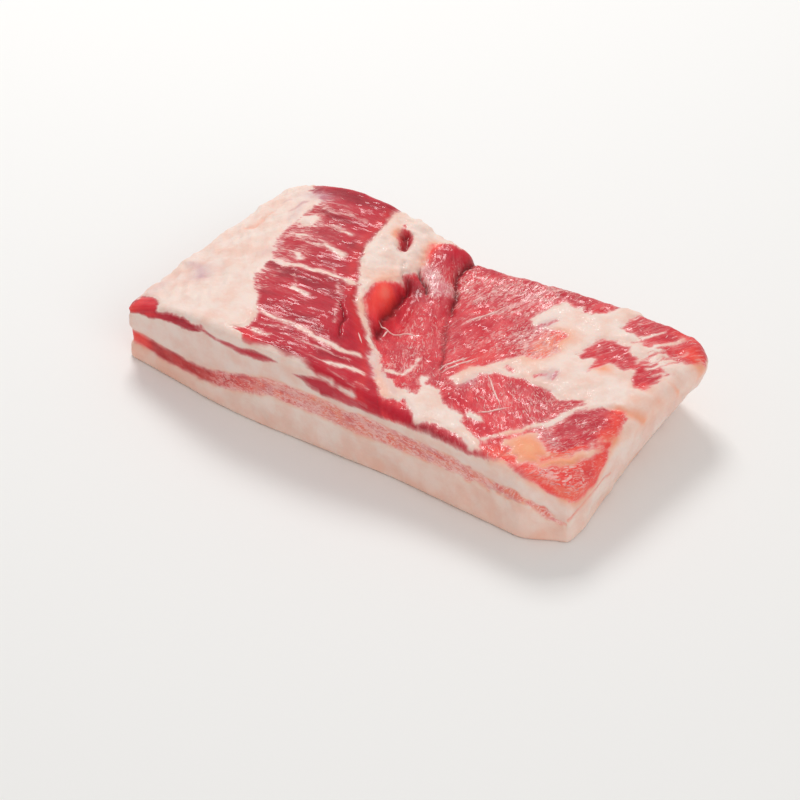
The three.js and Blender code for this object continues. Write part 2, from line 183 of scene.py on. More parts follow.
@dataclass(frozen=True)
class SlabForm:
    """Plan, rim and top face of the slab, the same as its solids."""

    left_end: float = -118.7
    right_end: float = 118.8
    front_side: float = -61.0
    back_side: float = 59.2
    corner_radii: tuple[float, ...] = (4.5, 4.0, 13.0, 9.0)
    front_bulge: float = 4.6
    front_dent: float = 1.2
    back_dent: float = 1.0
    back_flare: float = 7.4
    right_dent: float = 1.5
    left_dent: float = 1.2
    left_cut: float = 2.0
    corner_cut: float = 9.0
    corner_cut_start: float = 97.0
    rim_front: float = 4.0
    rim_right: float = 8.0
    rim_front_right: float = 3.5
    rim_back: float = 5.0
    rim_left: float = 3.0
    foot_radius: float = 2.0
    tuck_depth: float = 16.0
    tuck_run: float = 104.0
    tuck_start: float = -38.0
    tuck_heights: tuple[float, float] = (14.0, 28.0)
    end_height: float = 28.5
    hump_front: float = 45.2
    hump_back: float = 45.6
    front_plateau: float = 36.2
    back_plateau: float = 32.6
    back_plateau_rise: float = 4.6
    ramp_power: float = 1.8
    fall_start: Points = ((-62, -20), (-30, -25), (0, -34), (30, -48), (60, -58))
    fall_end: Points = ((-62, 56), (-30, 10), (0, -6), (30, -6), (60, -4))
    relief: tuple[Swelling, ...] = (
        Swelling("smooth lobe", -20, 2, 13, 6, -70, 3),
        Swelling("fat ridge", -36, 50, 16, 6, -75, 1.2),
        Swelling("back roll", -15, 46, 22, 7, -67, 4),
        Swelling("fat lump", 28, -45, 16, 7, -12, 2.2),
        Swelling("deep crease", -9, -1, 24, 5, -70, -4),
        Swelling("long crease", 5, 24, 34, 5, -67, -1.8),
        Swelling("end fat", 82, 12, 26, 9, 8, 1.2),
        Swelling("corner fall", 122, -50, 14, 26, 0, -9),
        Swelling("back edge", 32, 58, 38, 12, -4, 2.4),
        Swelling("roll tip", -13, 61, 9, 6, -67, 2.2),
        Swelling("ridge notch", -49, 60, 9, 5, -75, -1.6),
    )

    def swell(self, point: Array, normal: Array) -> Array:
        """How far the sides swell out of a plain rounded rectangle.

        Args:
            point: Plan points, one to a row.
            normal: Their outward normals.

        Returns:
            Distances along the normals.
        """
        x, y = point[:, 0], point[:, 1]
        front = self.front_bulge * bell(x + 52, 46) - self.front_dent * ease(0, 40, x)
        back = -self.back_dent + self.back_flare * ease(0, 85, x)
        right = -self.right_dent * bell(y - 4, 36)
        left = -self.left_dent * bell(y - 25, 18) - self.left_cut * ease(30, 58, y)
        return self.by_side(normal, front, right, back, left)

    @staticmethod
    def by_side(normal: Array, front: Any, right: Any, back: Any, left: Any) -> Array:
        """Mix four values by the way a normal points."""
        return (
            np.maximum(0, -normal[:, 1]) ** 2 * front
            + np.maximum(0, normal[:, 1]) ** 2 * back
            + np.maximum(0, normal[:, 0]) ** 2 * right
            + np.maximum(0, -normal[:, 0]) ** 2 * left
        )

    def rim_radius(self, point: Array, normal: Array) -> Array:
        """Radius of the edge between the top face and each side, crisp at the front right corner."""
        right = blend(self.rim_front_right, self.rim_right, ease(-52, -12, point[:, 1]))
        return self.by_side(normal, self.rim_front, right, self.rim_back, self.rim_left)

    def tuck(self, point: Array, z: Array) -> Array:
        """How far the right end is undercut, more and more towards its back corner."""
        run = np.clip((point[:, 1] - self.tuck_start) / self.tuck_run, 0, 1)
        height = blend(*self.tuck_heights, np.clip((point[:, 1] + 10) / 60, 0, 1))
        return ease(70, 112, point[:, 0]) * run * self.tuck_depth * (1 - ease(3, height, z))

    def outward_fall(self, point: Array, normal: Array) -> Array:
        """How steeply the top face falls outwards at its border."""
        beyond = point + normal
        step = self.top_height(beyond[:, 0], beyond[:, 1]) - self.top_height(point[:, 0], point[:, 1])
        return np.minimum(0, step)

    def outline(self, counts: tuple[int, int]) -> tuple[Array, Array]:
        """The plan outline, counter-clockwise from the middle of the front left corner.

        Args:
            counts: Steps along the long sides and along the ends.

        Returns:
            Plan points and their outward normals, one to a row.
        """
        directions = np.array([(1, 0), (0, 1), (-1, 0), (0, -1)], dtype=float)
        normals = np.array([(0, -1), (1, 0), (0, 1), (-1, 0)], dtype=float)
        low = (self.left_end, self.front_side)
        high = (self.right_end, self.back_side)
        corners = np.array([low, (high[0], low[1]), high, (low[0], high[1])])
        all_points, all_normals = [], []
        for side in range(4):
            after, before = (side + 1) % 4, (side + 3) % 4
            radii = self.corner_radii[side], self.corner_radii[after]
            arcs = [radius * math.pi / 4 for radius in radii]
            straight = np.linalg.norm(corners[after] - corners[side]) - sum(radii)
            steps = counts[side % 2]
            run = np.arange(steps) / steps * (straight + sum(arcs))
            turn_in = np.clip((arcs[0] - run) / radii[0], 0, None)
            turn_out = np.clip((run - arcs[0] - straight) / radii[1], 0, None)
            angle = np.maximum(turn_in, turn_out)[:, None]
            other = np.where((turn_in > 0)[:, None], normals[before], normals[after])
            normal = np.cos(angle) * normals[side] + np.sin(angle) * other
            level = np.clip(run - arcs[0], 0, straight)[:, None]
            radius = np.where(turn_out > 0, radii[1], radii[0])[:, None]
            start = corners[side] + directions[side] * radii[0]
            flat = start + directions[side] * level
            point = np.where(angle > 0, flat - normals[side] * radius + normal * radius, flat)
            all_points.append(point)
            all_normals.append(normal)
        point, normal = np.concatenate(all_points), np.concatenate(all_normals)
        point = point + normal * self.swell(point, normal)[:, None]
        cut = ease(self.corner_cut_start, self.right_end, point[:, 0]) * ease(-22, -58, point[:, 1])
        point[:, 1] += self.corner_cut * cut
        return point, normal

    def top_height(self, x: Array, y: Array) -> Array:
        """Height of the top face at plan points."""
        back = np.clip((y + 60) / 120, 0, 1)
        crest = blend(-45, -70, back)
        rise = np.clip((x - self.left_end) / (crest - self.left_end), 0, 1)
        hump = blend(self.hump_front, self.hump_back, back)
        ramp = blend(self.end_height, hump, 1 - (1 - rise) ** self.ramp_power)
        far = self.back_plateau + self.back_plateau_rise * ease(-5, 90, x)
        plateau = blend(self.front_plateau, far, back)
        height = blend(ramp, plateau, ease(curve(self.fall_start, y), curve(self.fall_end, y), x))
        for form in self.relief:
            height = height + form.at(x, y)
        return height


@dataclass(frozen=True)
class Layers:
    """Heights of the layers that show at the cut sides."""

    base_top: Points = (
        (-119, 8), (-98, 8.3), (-75, 9.2), (-53, 13.5), (-31, 18.9), (12, 17.5), (40, 18.5), (79, 19.5),
        (102, 18.5), (109, 13.5), (114, 9.5), (119, 9),
    )
    streak_top: Points = (
        (-119, 16), (-75, 16.9), (-53, 22.2), (-31, 28.5), (12, 28), (38, 27.5), (59, 27.2), (79, 25.6),
        (102, 23.5), (109, 18), (114, 13), (119, 12),
    )
    upper_low: Points = ((-119, 24), (-98, 28.7), (-75, 36.3), (-53, 35.2), (-34, 37))
    upper_high: Points = ((-119, 30), (-98, 33), (-75, 41), (-53, 38.6), (-34, 38.6))
    upper_end: float = -34.0
    upper_drop: float = 7.5
    lean_front_depth: Points = (
        (-60, 2), (-22, 3), (-15, 7), (-9, 13), (0, 12.6), (12, 10), (27, 7), (38, 4.5), (60, 3), (85, 3.6),
        (119, 4.6),
    )
    lean_left: float = 8.0
    lean_right: float = 5.5
    seam_least: float = 2.5
    dip: float = 4.0

    def sink(self, x: Array, y: Array) -> Array:
        """How far the lower layers dip behind the front side."""
        return ease(-60, -25, y) * (self.dip * bell(x + 5, 60) - np.sin(y / 24))

    def streak(self, x: Array, y: Array, z: Array) -> Array:
        """Distance inside the main lean streak, negative outside it."""
        sink = self.sink(x, y)
        low = curve(self.base_top, x) - sink
        high = curve(self.streak_top, x) - sink
        return np.minimum(z - low, high - z)

    def upper_streak(self, x: Array, y: Array, z: Array) -> Array:
        """Distance inside the thin upper streak, negative outside it."""
        drop = self.upper_drop * ease(-57, -38, y)
        low = curve(self.upper_low, x) - drop
        high = curve(self.upper_high, x) - drop
        return np.minimum(np.minimum(z - low, high - z), (self.upper_end - x) * 0.25)

    def lean_floor(self, x: Array, y: Array, top: Array) -> Array:
        """Height of the underside of the top muscle."""
        body = blend(self.lean_left, self.lean_right, ease(-40, 40, x))
        depth = blend(curve(self.lean_front_depth, x), body, ease(-60, -40, y))
        seam = curve(self.streak_top, x) - self.sink(x, y) + self.seam_least
        return np.maximum(top - depth, seam)


class Paint(Enum):
    """What a patch of the surface is."""

    FAT = "fat"
    LEAN = "lean"


class Channel(Enum):
    """Slow changes of colour over the surface."""

    TONE = "tone"
    FILM = "film"
    PEACH = "peach"
    LILAC = "lilac"
    SHADE = "shade"
    RAGGED = "ragged"


def polygon_depth(outline: Points, x: Array, y: Array) -> Array:
    """Distance inside a closed outline, negative outside it.

    Args:
        outline: Corner points in order.
        x: Plan positions along the slab.
        y: Plan positions across the slab.

    Returns:
        Signed distances.
    """
    nearest = np.full(x.shape, np.inf)
    inside = np.zeros(x.shape, dtype=bool)
    for (ax, ay), (bx, by) in zip(outline, [*outline[1:], outline[0]]):
        ex, ey = bx - ax, by - ay
        t = np.clip(((x - ax) * ex + (y - ay) * ey) / (ex * ex + ey * ey), 0, 1)
        nearest = np.minimum(nearest, (x - ax - ex * t) ** 2 + (y - ay - ey * t) ** 2)
        if ay != by:
            inside ^= ((ay > y) != (by > y)) & (x < ex * (y - ay) / ey + ax)
    return np.where(inside, 1.0, -1.0) * np.sqrt(nearest)


def path_nearest(path: Points, x: Array, y: Array) -> tuple[Array, Array, Array]:
    """Nearest place on an open path.

    Args:
        path: Points in order.
        x: Plan positions along the slab.
        y: Plan positions across the slab.

    Returns:
        Distance, how far along the path from 0 to 1, and the side, 1 on its left.
    """
    lengths = [math.dist(a, b) for a, b in zip(path, path[1:])]
    whole = sum(lengths)
    best = np.full(x.shape, np.inf)
    along = np.zeros(x.shape)
    side = np.ones(x.shape)
    done = 0.0
    for (ax, ay), (bx, by), length in zip(path, path[1:], lengths):
        ex, ey = bx - ax, by - ay
        t = np.clip(((x - ax) * ex + (y - ay) * ey) / (length * length), 0, 1)
        square = (x - ax - ex * t) ** 2 + (y - ay - ey * t) ** 2
        closer = square < best
        best = np.where(closer, square, best)
        along = np.where(closer, (done + t * length) / whole, along)
        side = np.where(closer, np.sign(ex * (y - ay) - ey * (x - ax)), side)
        done += length
    return np.sqrt(best), along, side


@dataclass(frozen=True)
class Patch:
    """A patch of fat or lean with a closed outline on the top face."""

    name: str
    paint: Paint
    outline: Points
    crags: float = 0.0

    def depth(self, x: Array, y: Array) -> Array:
        """Distance inside the patch, negative outside it."""
        return polygon_depth(self.outline, x, y)


@dataclass(frozen=True)
class Streak:
    """A band of fat or lean along a path, with a width at each end of it."""

    name: str
    paint: Paint
    path: Points
    start_width: float
    end_width: float

    def depth(self, x: Array, y: Array) -> Array:
        """Distance inside the band, negative outside it."""
        distance, along, _ = path_nearest(self.path, x, y)
        return blend(self.start_width, self.end_width, along) / 2 - distance


@dataclass(frozen=True)
class Crease:
    """A groove of the top face along a path, whose left lip can hang over it, and whose dark sets the
    painted shade in it.
    """

    name: str
    path: Points
    half_width: float
    depth: float
    overhang: float = 0.0
    # How strong the painted shade along the groove is.
    dark: float = 0.5

    def strength(self, x: Array, y: Array) -> tuple[Array, Array]:
        """Groove profile from 0 to 1 and the pull of the left lip over it."""
        distance, along, side = path_nearest(self.path, x, y)
        taper = ease(0.0, 0.12, along) * (1 - ease(0.8, 1.0, along))
        groove = bell(distance, self.half_width) * taper
        lip = bell(distance - self.half_width, self.half_width * 1.6) * taper * (side < 0)
        return groove, lip


@dataclass(frozen=True)
class Tint:
    """A soft spot of one colour channel on the top face."""

    channel: Channel
    x: float
    y: float
    long: float
    wide: float
    turn: float
    amount: float

    def at(self, x: Array, y: Array) -> Array:
        """Strength of the tint at plan points."""
        return Swelling("tint", self.x, self.y, self.long, self.wide, self.turn, self.amount).at(x, y)


@dataclass(frozen=True)
class TintBand:
    """A soft band of one colour channel along a path on the top face."""

    channel: Channel
    path: Points
    half_width: float
    amount: float

    def at(self, x: Array, y: Array) -> Array:
        """Strength of the tint at plan points."""
        distance, _, _ = path_nearest(self.path, x, y)
        return self.amount * bell(distance, self.half_width)


def tints(channel: Channel, *rows: Sequence[Any]) -> tuple[Tint | TintBand, ...]:
    """Tints of one channel, written as rows.

    Args:
        channel: The colour channel.
        rows: Six numbers for a spot, or a path, a half width and an amount for a band.

    Returns:
        The tints in the same order.
    """
    return tuple((TintBand if len(row) == 3 else Tint)(channel, *row) for row in rows)


FAT, LEAN = Paint.FAT, Paint.LEAN

# Fat and lean of the top face, painted one over the other in this order.
TOP_PATCHES: tuple[Patch | Streak, ...] = (
    Patch("fat cover", FAT, (
        (-130, 75), (-100, 75), (-99, 50), (-91, 46.5), (-85, 41), (-86, 31), (-84, 21), (-86, 14),
        (-84, 7), (-79, 0), (-75, -9), (-73, -20), (-70, -29), (-62, -35.5), (-55, -43), (-50, -52),
        (-50, -59), (-57, -63), (-57, -80), (-130, -80),
    )),
    Patch("cover notch", FAT, ((-86, 20.5), (-84, 26), (-80, 30), (-76, 27), (-75, 22.5), (-80, 20.5))),
    Streak("hump spot a", FAT, ((-61, 24.5), (-56, 25.5)), 1.8, 1.8),
    Streak("hump spot b", FAT, ((-76.5, 13.2), (-74.5, 14)), 2.8, 2.8),
    Streak("hump spot c", FAT, ((-66, 11.3), (-60, 12), (-55, 11), (-49, 9.6)), 1.4, 2.8),
    Streak("hump spot d", FAT, ((-67, 0.5), (-63.5, -2.5)), 2.2, 2.2),
    Streak("hump spot e", FAT, ((-51, -22.8), (-43.5, -23)), 2.8, 2.4),
    Streak("hump spot f", FAT, ((-37, -4.4), (-32, -4.8)), 1.6, 3.0),
    Streak("hump spot g", FAT, ((-46, -57.4), (-39, -57)), 2.2, 1.0),
    Streak("hump spot h", FAT, ((-6, -55.2), (1, -52.2), (6, -50.6)), 2.4, 1.8),
    Streak("hump spot i", FAT, ((-13, -67), (-6.5, -65.3), (0.2, -63.5)), 1.8, 2.2),
    Streak("hump spot j", FAT, ((4.5, -63.2), (11.8, -62.3)), 2.0, 1.8),
    Streak("hump thread a", FAT, (
        (-73.5, -10.2), (-67, -10), (-60, -7.5), (-50, -5), (-40, -4.4),
    ), 1.5, 1.7),
    Streak("hump thread b", FAT, (
        (-52, -43.8), (-43, -44.4), (-33.6, -44.1), (-20.2, -45.1), (-9.1, -44.2), (-2, -40),
    ), 0.6, 2.0),
    Patch("fat ridge", FAT, (
        (-51, 66), (-50.5, 50), (-48.5, 42), (-47, 32), (-45, 22), (-40, 12), (-34, 3), (-31, -3),
        (-25, -5), (-24.5, 2), (-23.5, 10), (-21.5, 17), (-24, 23), (-20, 30), (-22, 35), (-26, 42),
        (-26, 50), (-21, 56), (-18, 66),
    ), 0.6),
    Patch("ridge pit", LEAN, (
        (-39.2, 37.4), (-40.6, 41.6), (-40.6, 45), (-38.2, 46.2), (-35, 44.4), (-33, 41.4), (-32.2, 37.5),
        (-31.8, 33.6), (-33.1, 32), (-36.6, 35.4),
    )),
    Streak("ridge dot", LEAN, ((-42.5, 48.5), (-41.2, 47)), 1.6, 1.6),
    Streak("roll fringe", FAT, ((-26, 52.4), (-19, 55.6), (-14, 57.4), (-10, 58)), 2.6, 1.4),
    Streak("valley strand", FAT, (
        (-28, -4), (-24.5, -9), (-21, -12.6), (-16.5, -17), (-8, -23.5), (-1, -30),
    ), 2.8, 2.8),
    Streak("valley strand foot", FAT, (
        (-1, -30), (5, -37), (9.6, -41.4), (16, -46.6), (23, -50.6),
    ), 3.0, 7.0),
    Streak("strand branch", FAT, (
        (9.6, -39.6), (14.4, -35.6), (18.8, -33.7), (19.4, -28), (16.6, -21),
    ), 2.6, 0.8),
    Patch("front lump", FAT, (
        (14, -43.4), (19, -42), (23.5, -46), (30, -45), (33, -48), (30, -53), (24, -55.6), (19, -52.4),
        (15, -48),
    )),
    Patch("front tail", FAT, (
        (30, -34), (38, -34), (42, -38), (46, -42), (56, -43.5), (61, -47), (67, -50), (73, -54),
        (78, -58), (72, -58.5), (62, -55), (50, -54.5), (44, -58), (38, -55), (31, -51), (26, -52),
        (27, -46.5), (34, -44.5), (32, -39),
    )),
    Streak("front spot", FAT, ((58.5, -40.3), (63, -39.8)), 3.4, 4.0),
    Streak("front fleck", FAT, ((27.5, -31), (29.5, -35.5)), 3.0, 2.0),
    Patch("end fat", FAT, (
        (36.8, -25.5), (43, -27), (45, -20), (46, -13), (50, -9.5), (57, -7.5), (62, -5), (69, -6.5),
        (77, -5.5), (82, -8.5), (89, -8), (94, -3.5), (98, -8), (101, -4), (105, -1), (109, 0), (112, 6),
        (114, 4), (118, 0), (118, 46), (111, 45), (106, 44.5), (101, 47.5), (96, 46), (92, 44), (90, 48),
        (85, 49.5), (78, 50), (78, 57), (81, 64), (82, 80), (69, 80), (68.5, 60), (66, 54), (61, 50),
        (57, 49.5), (54, 52.5), (50, 49.5), (46, 51), (42, 47), (40, 40), (39.5, 33), (44, 30),
        (52, 30.5), (56, 33), (60.5, 31), (61, 24), (64.5, 20), (62.5, 13), (59, 8), (54, 7), (50, 4),
        (47, -2), (43, -8), (39.5, -12), (36.5, -20),
    )),
    Streak("notch in end fat", LEAN, ((46.5, 28), (48.5, 34), (49.8, 38)), 3.4, 1.6),
    Patch("red island", LEAN, (
        (72, 22), (73, 30), (75, 38), (80, 40), (87, 40), (92, 36), (97, 36), (103, 38), (107, 37),
        (113, 32), (116, 32), (115, 26), (112, 24), (110, 18), (105, 17), (102, 21), (100, 27), (97, 28),
        (94, 24.5), (88, 25.5), (86, 20), (83, 14), (82, 22), (81, 25), (76, 21),
    )),
    Streak("mauve spot a", LEAN, ((71.6, 4.8), (72.8, 0.5)), 1.6, 1.4),
    Streak("mauve spot b", LEAN, ((66.6, -1.5), (68.6, 2)), 2.4, 1.2),
    Streak("mauve spot c", LEAN, ((52, -3), (55, -3.8)), 2.0, 2.0),
    Streak("island streak a", FAT, ((96, 47), (101, 53), (104, 59)), 2.4, 1.6),
    Streak("island streak b", FAT, ((88.5, 50), (91, 54), (94, 58)), 2.0, 1.0),
    Streak("island streak c", FAT, ((107.5, 46), (110.5, 51)), 2.2, 1.0),
    Streak("island finger a", LEAN, ((97.6, 35), (99.6, 43.5)), 2.0, 0.8),
    Streak("island finger b", LEAN, ((101.6, 35.5), (103.8, 42.6)), 1.8, 0.8),
    Streak("island finger c", LEAN, ((105.2, 35.5), (108.4, 41.2)), 1.8, 0.8),
    Streak("island finger d", LEAN, ((109.6, 32.5), (114.6, 37.4)), 2.0, 0.8),
    Streak("island finger e", LEAN, ((113, 29.5), (119.4, 33.2)), 2.2, 1.0),
    Streak("fat finger a", FAT, ((98.2, 42), (96.4, 33)), 2.0, 1.0),
    Streak("fat finger b", FAT, ((102.8, 41), (100, 33)), 1.9, 1.0),
    Streak("fat finger c", FAT, ((106.8, 39), (103.6, 31.5)), 1.9, 1.0),
    Streak("fat finger d", FAT, ((111.6, 36), (107.6, 29)), 1.9, 1.0),
    Streak("back finger a", LEAN, ((103.6, 49), (99.4, 42.8)), 1.9, 0.8),
    Streak("back finger b", LEAN, ((109, 48), (105.2, 42)), 1.9, 0.8),
    Streak("back finger c", LEAN, ((113.6, 49), (109, 41.6)), 2.2, 0.9),
    Streak("back finger d", LEAN, ((90.4, 49), (86.4, 43.8)), 1.8, 0.8),
    Streak("end mark", LEAN, ((121.6, 49.8), (124.4, 48)), 1.4, 1.2),
    Streak("parting strand", FAT, ((96.3, -5.1), (92.1, -16.2), (89.9, -27.4)), 2.0, 3.6),
    Streak("parting strand foot", FAT, (
        (89.9, -27.4), (84.5, -33.1), (81.6, -38.3), (72.8, -51.8),
    ), 2.6, 1.6),
    Patch("gold fat", FAT, (
        (80.6, -46.6), (82.4, -44), (83.8, -39.6), (86.6, -35.6), (89.6, -34.4), (91.6, -37.4),
        (95.4, -38.2), (100.6, -41.4), (99, -45.4), (101.4, -49.4), (97, -51.4), (95.4, -55.4),
        (91.6, -52.4), (88, -52.6), (86.2, -48.6), (83, -49.4),
    )),
    Patch("end wall", FAT, (
        (109, 3), (113, -1), (115.4, -6.8), (117, -15), (122, -22.4), (126.6, -29.6), (127, -37.4),
        (124.6, -45.4), (121.8, -50.6), (115.8, -54.8), (110.7, -57.9), (107, -62), (107, -140),
        (190, -140), (190, 120), (127, 120), (124, 72), (121.4, 66), (120.6, 55), (114.6, 46), (112, 30),
    )),
    Patch("peach lobe", FAT, (
        (100.5, -50.8), (101.8, -46.7), (104.2, -41), (106.5, -36.5), (109.5, -31.5), (112.4, -26.5),
        (115.6, -21.4), (114.6, -27.4), (112.6, -33.4), (110.5, -39.6), (106.5, -45.2), (103.5, -50),
    )),
    # A white fleck on the peach lobe, partly fat and partly a painted highlight.
    Streak("white fleck", FAT, ((111, -24.5), (113.6, -18.5)), 1.6, 1.0),
)

# Lower edge of the top muscle on the front side, as x and height.
FRONT_LEAN_EDGE: Points = (
    (-52, 60), (-50, 47.6), (-47, 43.7), (-42, 42.8), (-32, 45.2), (-25, 45.2), (-20.2, 44.4),
    (-15, 43.8), (-9.8, 42.6), (-6.2, 40.6), (-5.4, 31.6), (-4.7, 31), (3.2, 31.6), (19.7, 31.7),
    (27.5, 32), (35.5, 33), (49.3, 33.5), (73, 33.4), (81, 34.6), (86, 35.6), (93, 35.6), (97.6, 34.9),
    (104, 32.5), (107.4, 29.1), (110.3, 25.8), (113.6, 24.8), (118, 24.6),
)

# Thin lean line across the right end, as y and height.
END_LINE = Streak("end line", LEAN, (
    (-60, 12.5), (-51.7, 12.1), (-43.6, 14.8), (-32.8, 16.6), (-23.2, 18.3), (-17.6, 17.6),
), 0.8, 0.3)

# Lean that shows on the front side, as x and height.
FRONT_PATCHES: tuple[Patch, ...] = (
    Patch("thin streak", LEAN, (
        (-71, 38.4), (-67, 37.5), (-62.5, 36.3), (-57, 36.3), (-52, 35.8), (-47.5, 34.9), (-42, 35.8),
        (-37.5, 35.8), (-33, 37.2), (-27.5, 39.6), (-33, 40.6), (-37.5, 40.4), (-42, 40.4), (-47, 39.3),
        (-52.5, 39), (-58, 38.7), (-63, 38.8), (-67, 39.7), (-71, 40.6),
    )),
    Patch("dark wedge", LEAN, (
        (-20, 36.4), (-16, 37.6), (-12, 38.8), (-9, 39.4), (-5, 40.2), (0, 40), (0, 33.2), (-5, 32.4),
        (-9.6, 33.2), (-14, 35.2),
    )),
)

# Lean that wraps over the rim at the front left corner, on the unrolled plan.
CORNER_RED = Patch("corner red", LEAN, (
    (-124, -62.8), (-117.7, -63.6), (-105.7, -65.3), (-92.9, -66.8), (-80.4, -68.9), (-72.2, -69.4),
    (-67.6, -67.6), (-71, -65.8), (-77.7, -64), (-89.3, -62.6), (-98.8, -62), (-101.5, -58.5),
    (-103.5, -56.2), (-109.7, -53.4), (-115.5, -52.8), (-116.6, -57), (-124, -59.5),
))

# Grooves of the top face, some with a lip that hangs over them, each with painted shade along it.
TOP_CREASES: tuple[Crease, ...] = (
    Crease("deep crease", (
        (-23, 22.5), (-19.7, 19), (-16.5, 11), (-14.2, 0), (-12.7, -9.5), (-10.2, -14.4), (-7.2, -19),
        (-3.7, -24.6),
    ), 1.9, 3.6, 0.5, 0.75),
    Crease("roll crease", (
        (-8.6, 70), (-8.4, 56), (-8.4, 49.6), (-7.2, 42.7), (-3.9, 35.7), (0, 29.6), (4.8, 21), (8.8, 13),
    ), 1.6, 2.8, 0.4, 0.7),
    Crease("long crease", (
        (8.8, 13), (14, 3.5), (21, -7.5), (27.8, -17.8), (32.3, -24.8),
    ), 0.9, 1.2, 0.2, 0.4),
    Crease("membrane slit", (
        (-22, 34), (-21.1, 31.7), (-17.5, 28.7), (-13.3, 24.7), (-8.6, 19.5),
    ), 0.9, 2.2, 0.4, 0.9),
    Crease("hump slit", (
        (-28, -18), (-22.9, -22.9), (-18.7, -29.1), (-15.9, -34.9), (-12.8, -40.5),
    ), 0.8, 1.8, 0.3, 0.6),
    Crease("strand edge", (
        (-33, 1), (-24, -13), (-14, -18), (-6, -27), (2, -37), (9, -47),
    ), 1.2, 0.5, 0.0, 0.0),
    Crease("ridge pit", ((-39.6, 44.6), (-37.4, 41.8), (-34.9, 38.4), (-32.4, 32.6)), 2.2, 3.6, 0.0, 0.6),
    Crease("ridge crack", ((-29, 29), (-27, 26.5), (-24.5, 22.5), (-22, 19)), 0.8, 1.4, 0.0, 0.3),
    Crease("cover fold", (
        (-108.5, 10.5), (-106.8, 12.4), (-103.8, 14.7), (-104, 21.6), (-102.9, 27), (-102, 30),
    ), 1.5, 1.1, 0.0, 0.0),
    Crease("cover wrinkle a", ((-107, -11), (-101.7, -4.9), (-98, 0)), 1.4, 0.5, 0.0, 0.0),
    Crease("cover wrinkle b", ((-108, -2), (-102.2, 3.5), (-99, 8)), 1.2, 0.4, 0.0, 0.0),
    Crease("cover wrinkle c", ((-95, -33), (-88, -29.5), (-82.6, -26.8)), 1.2, 0.4, 0.0, 0.0),
    Crease("cover wrinkle d", ((-87, -39), (-81, -36), (-76.1, -33.5)), 1.2, 0.4, 0.0, 0.0),
    Crease("end fold", ((103, -2), (108, -0.6), (113.4, 2), (118, 6.6), (121, 11)), 1.6, 0.8, 0.0, 0.0),
)

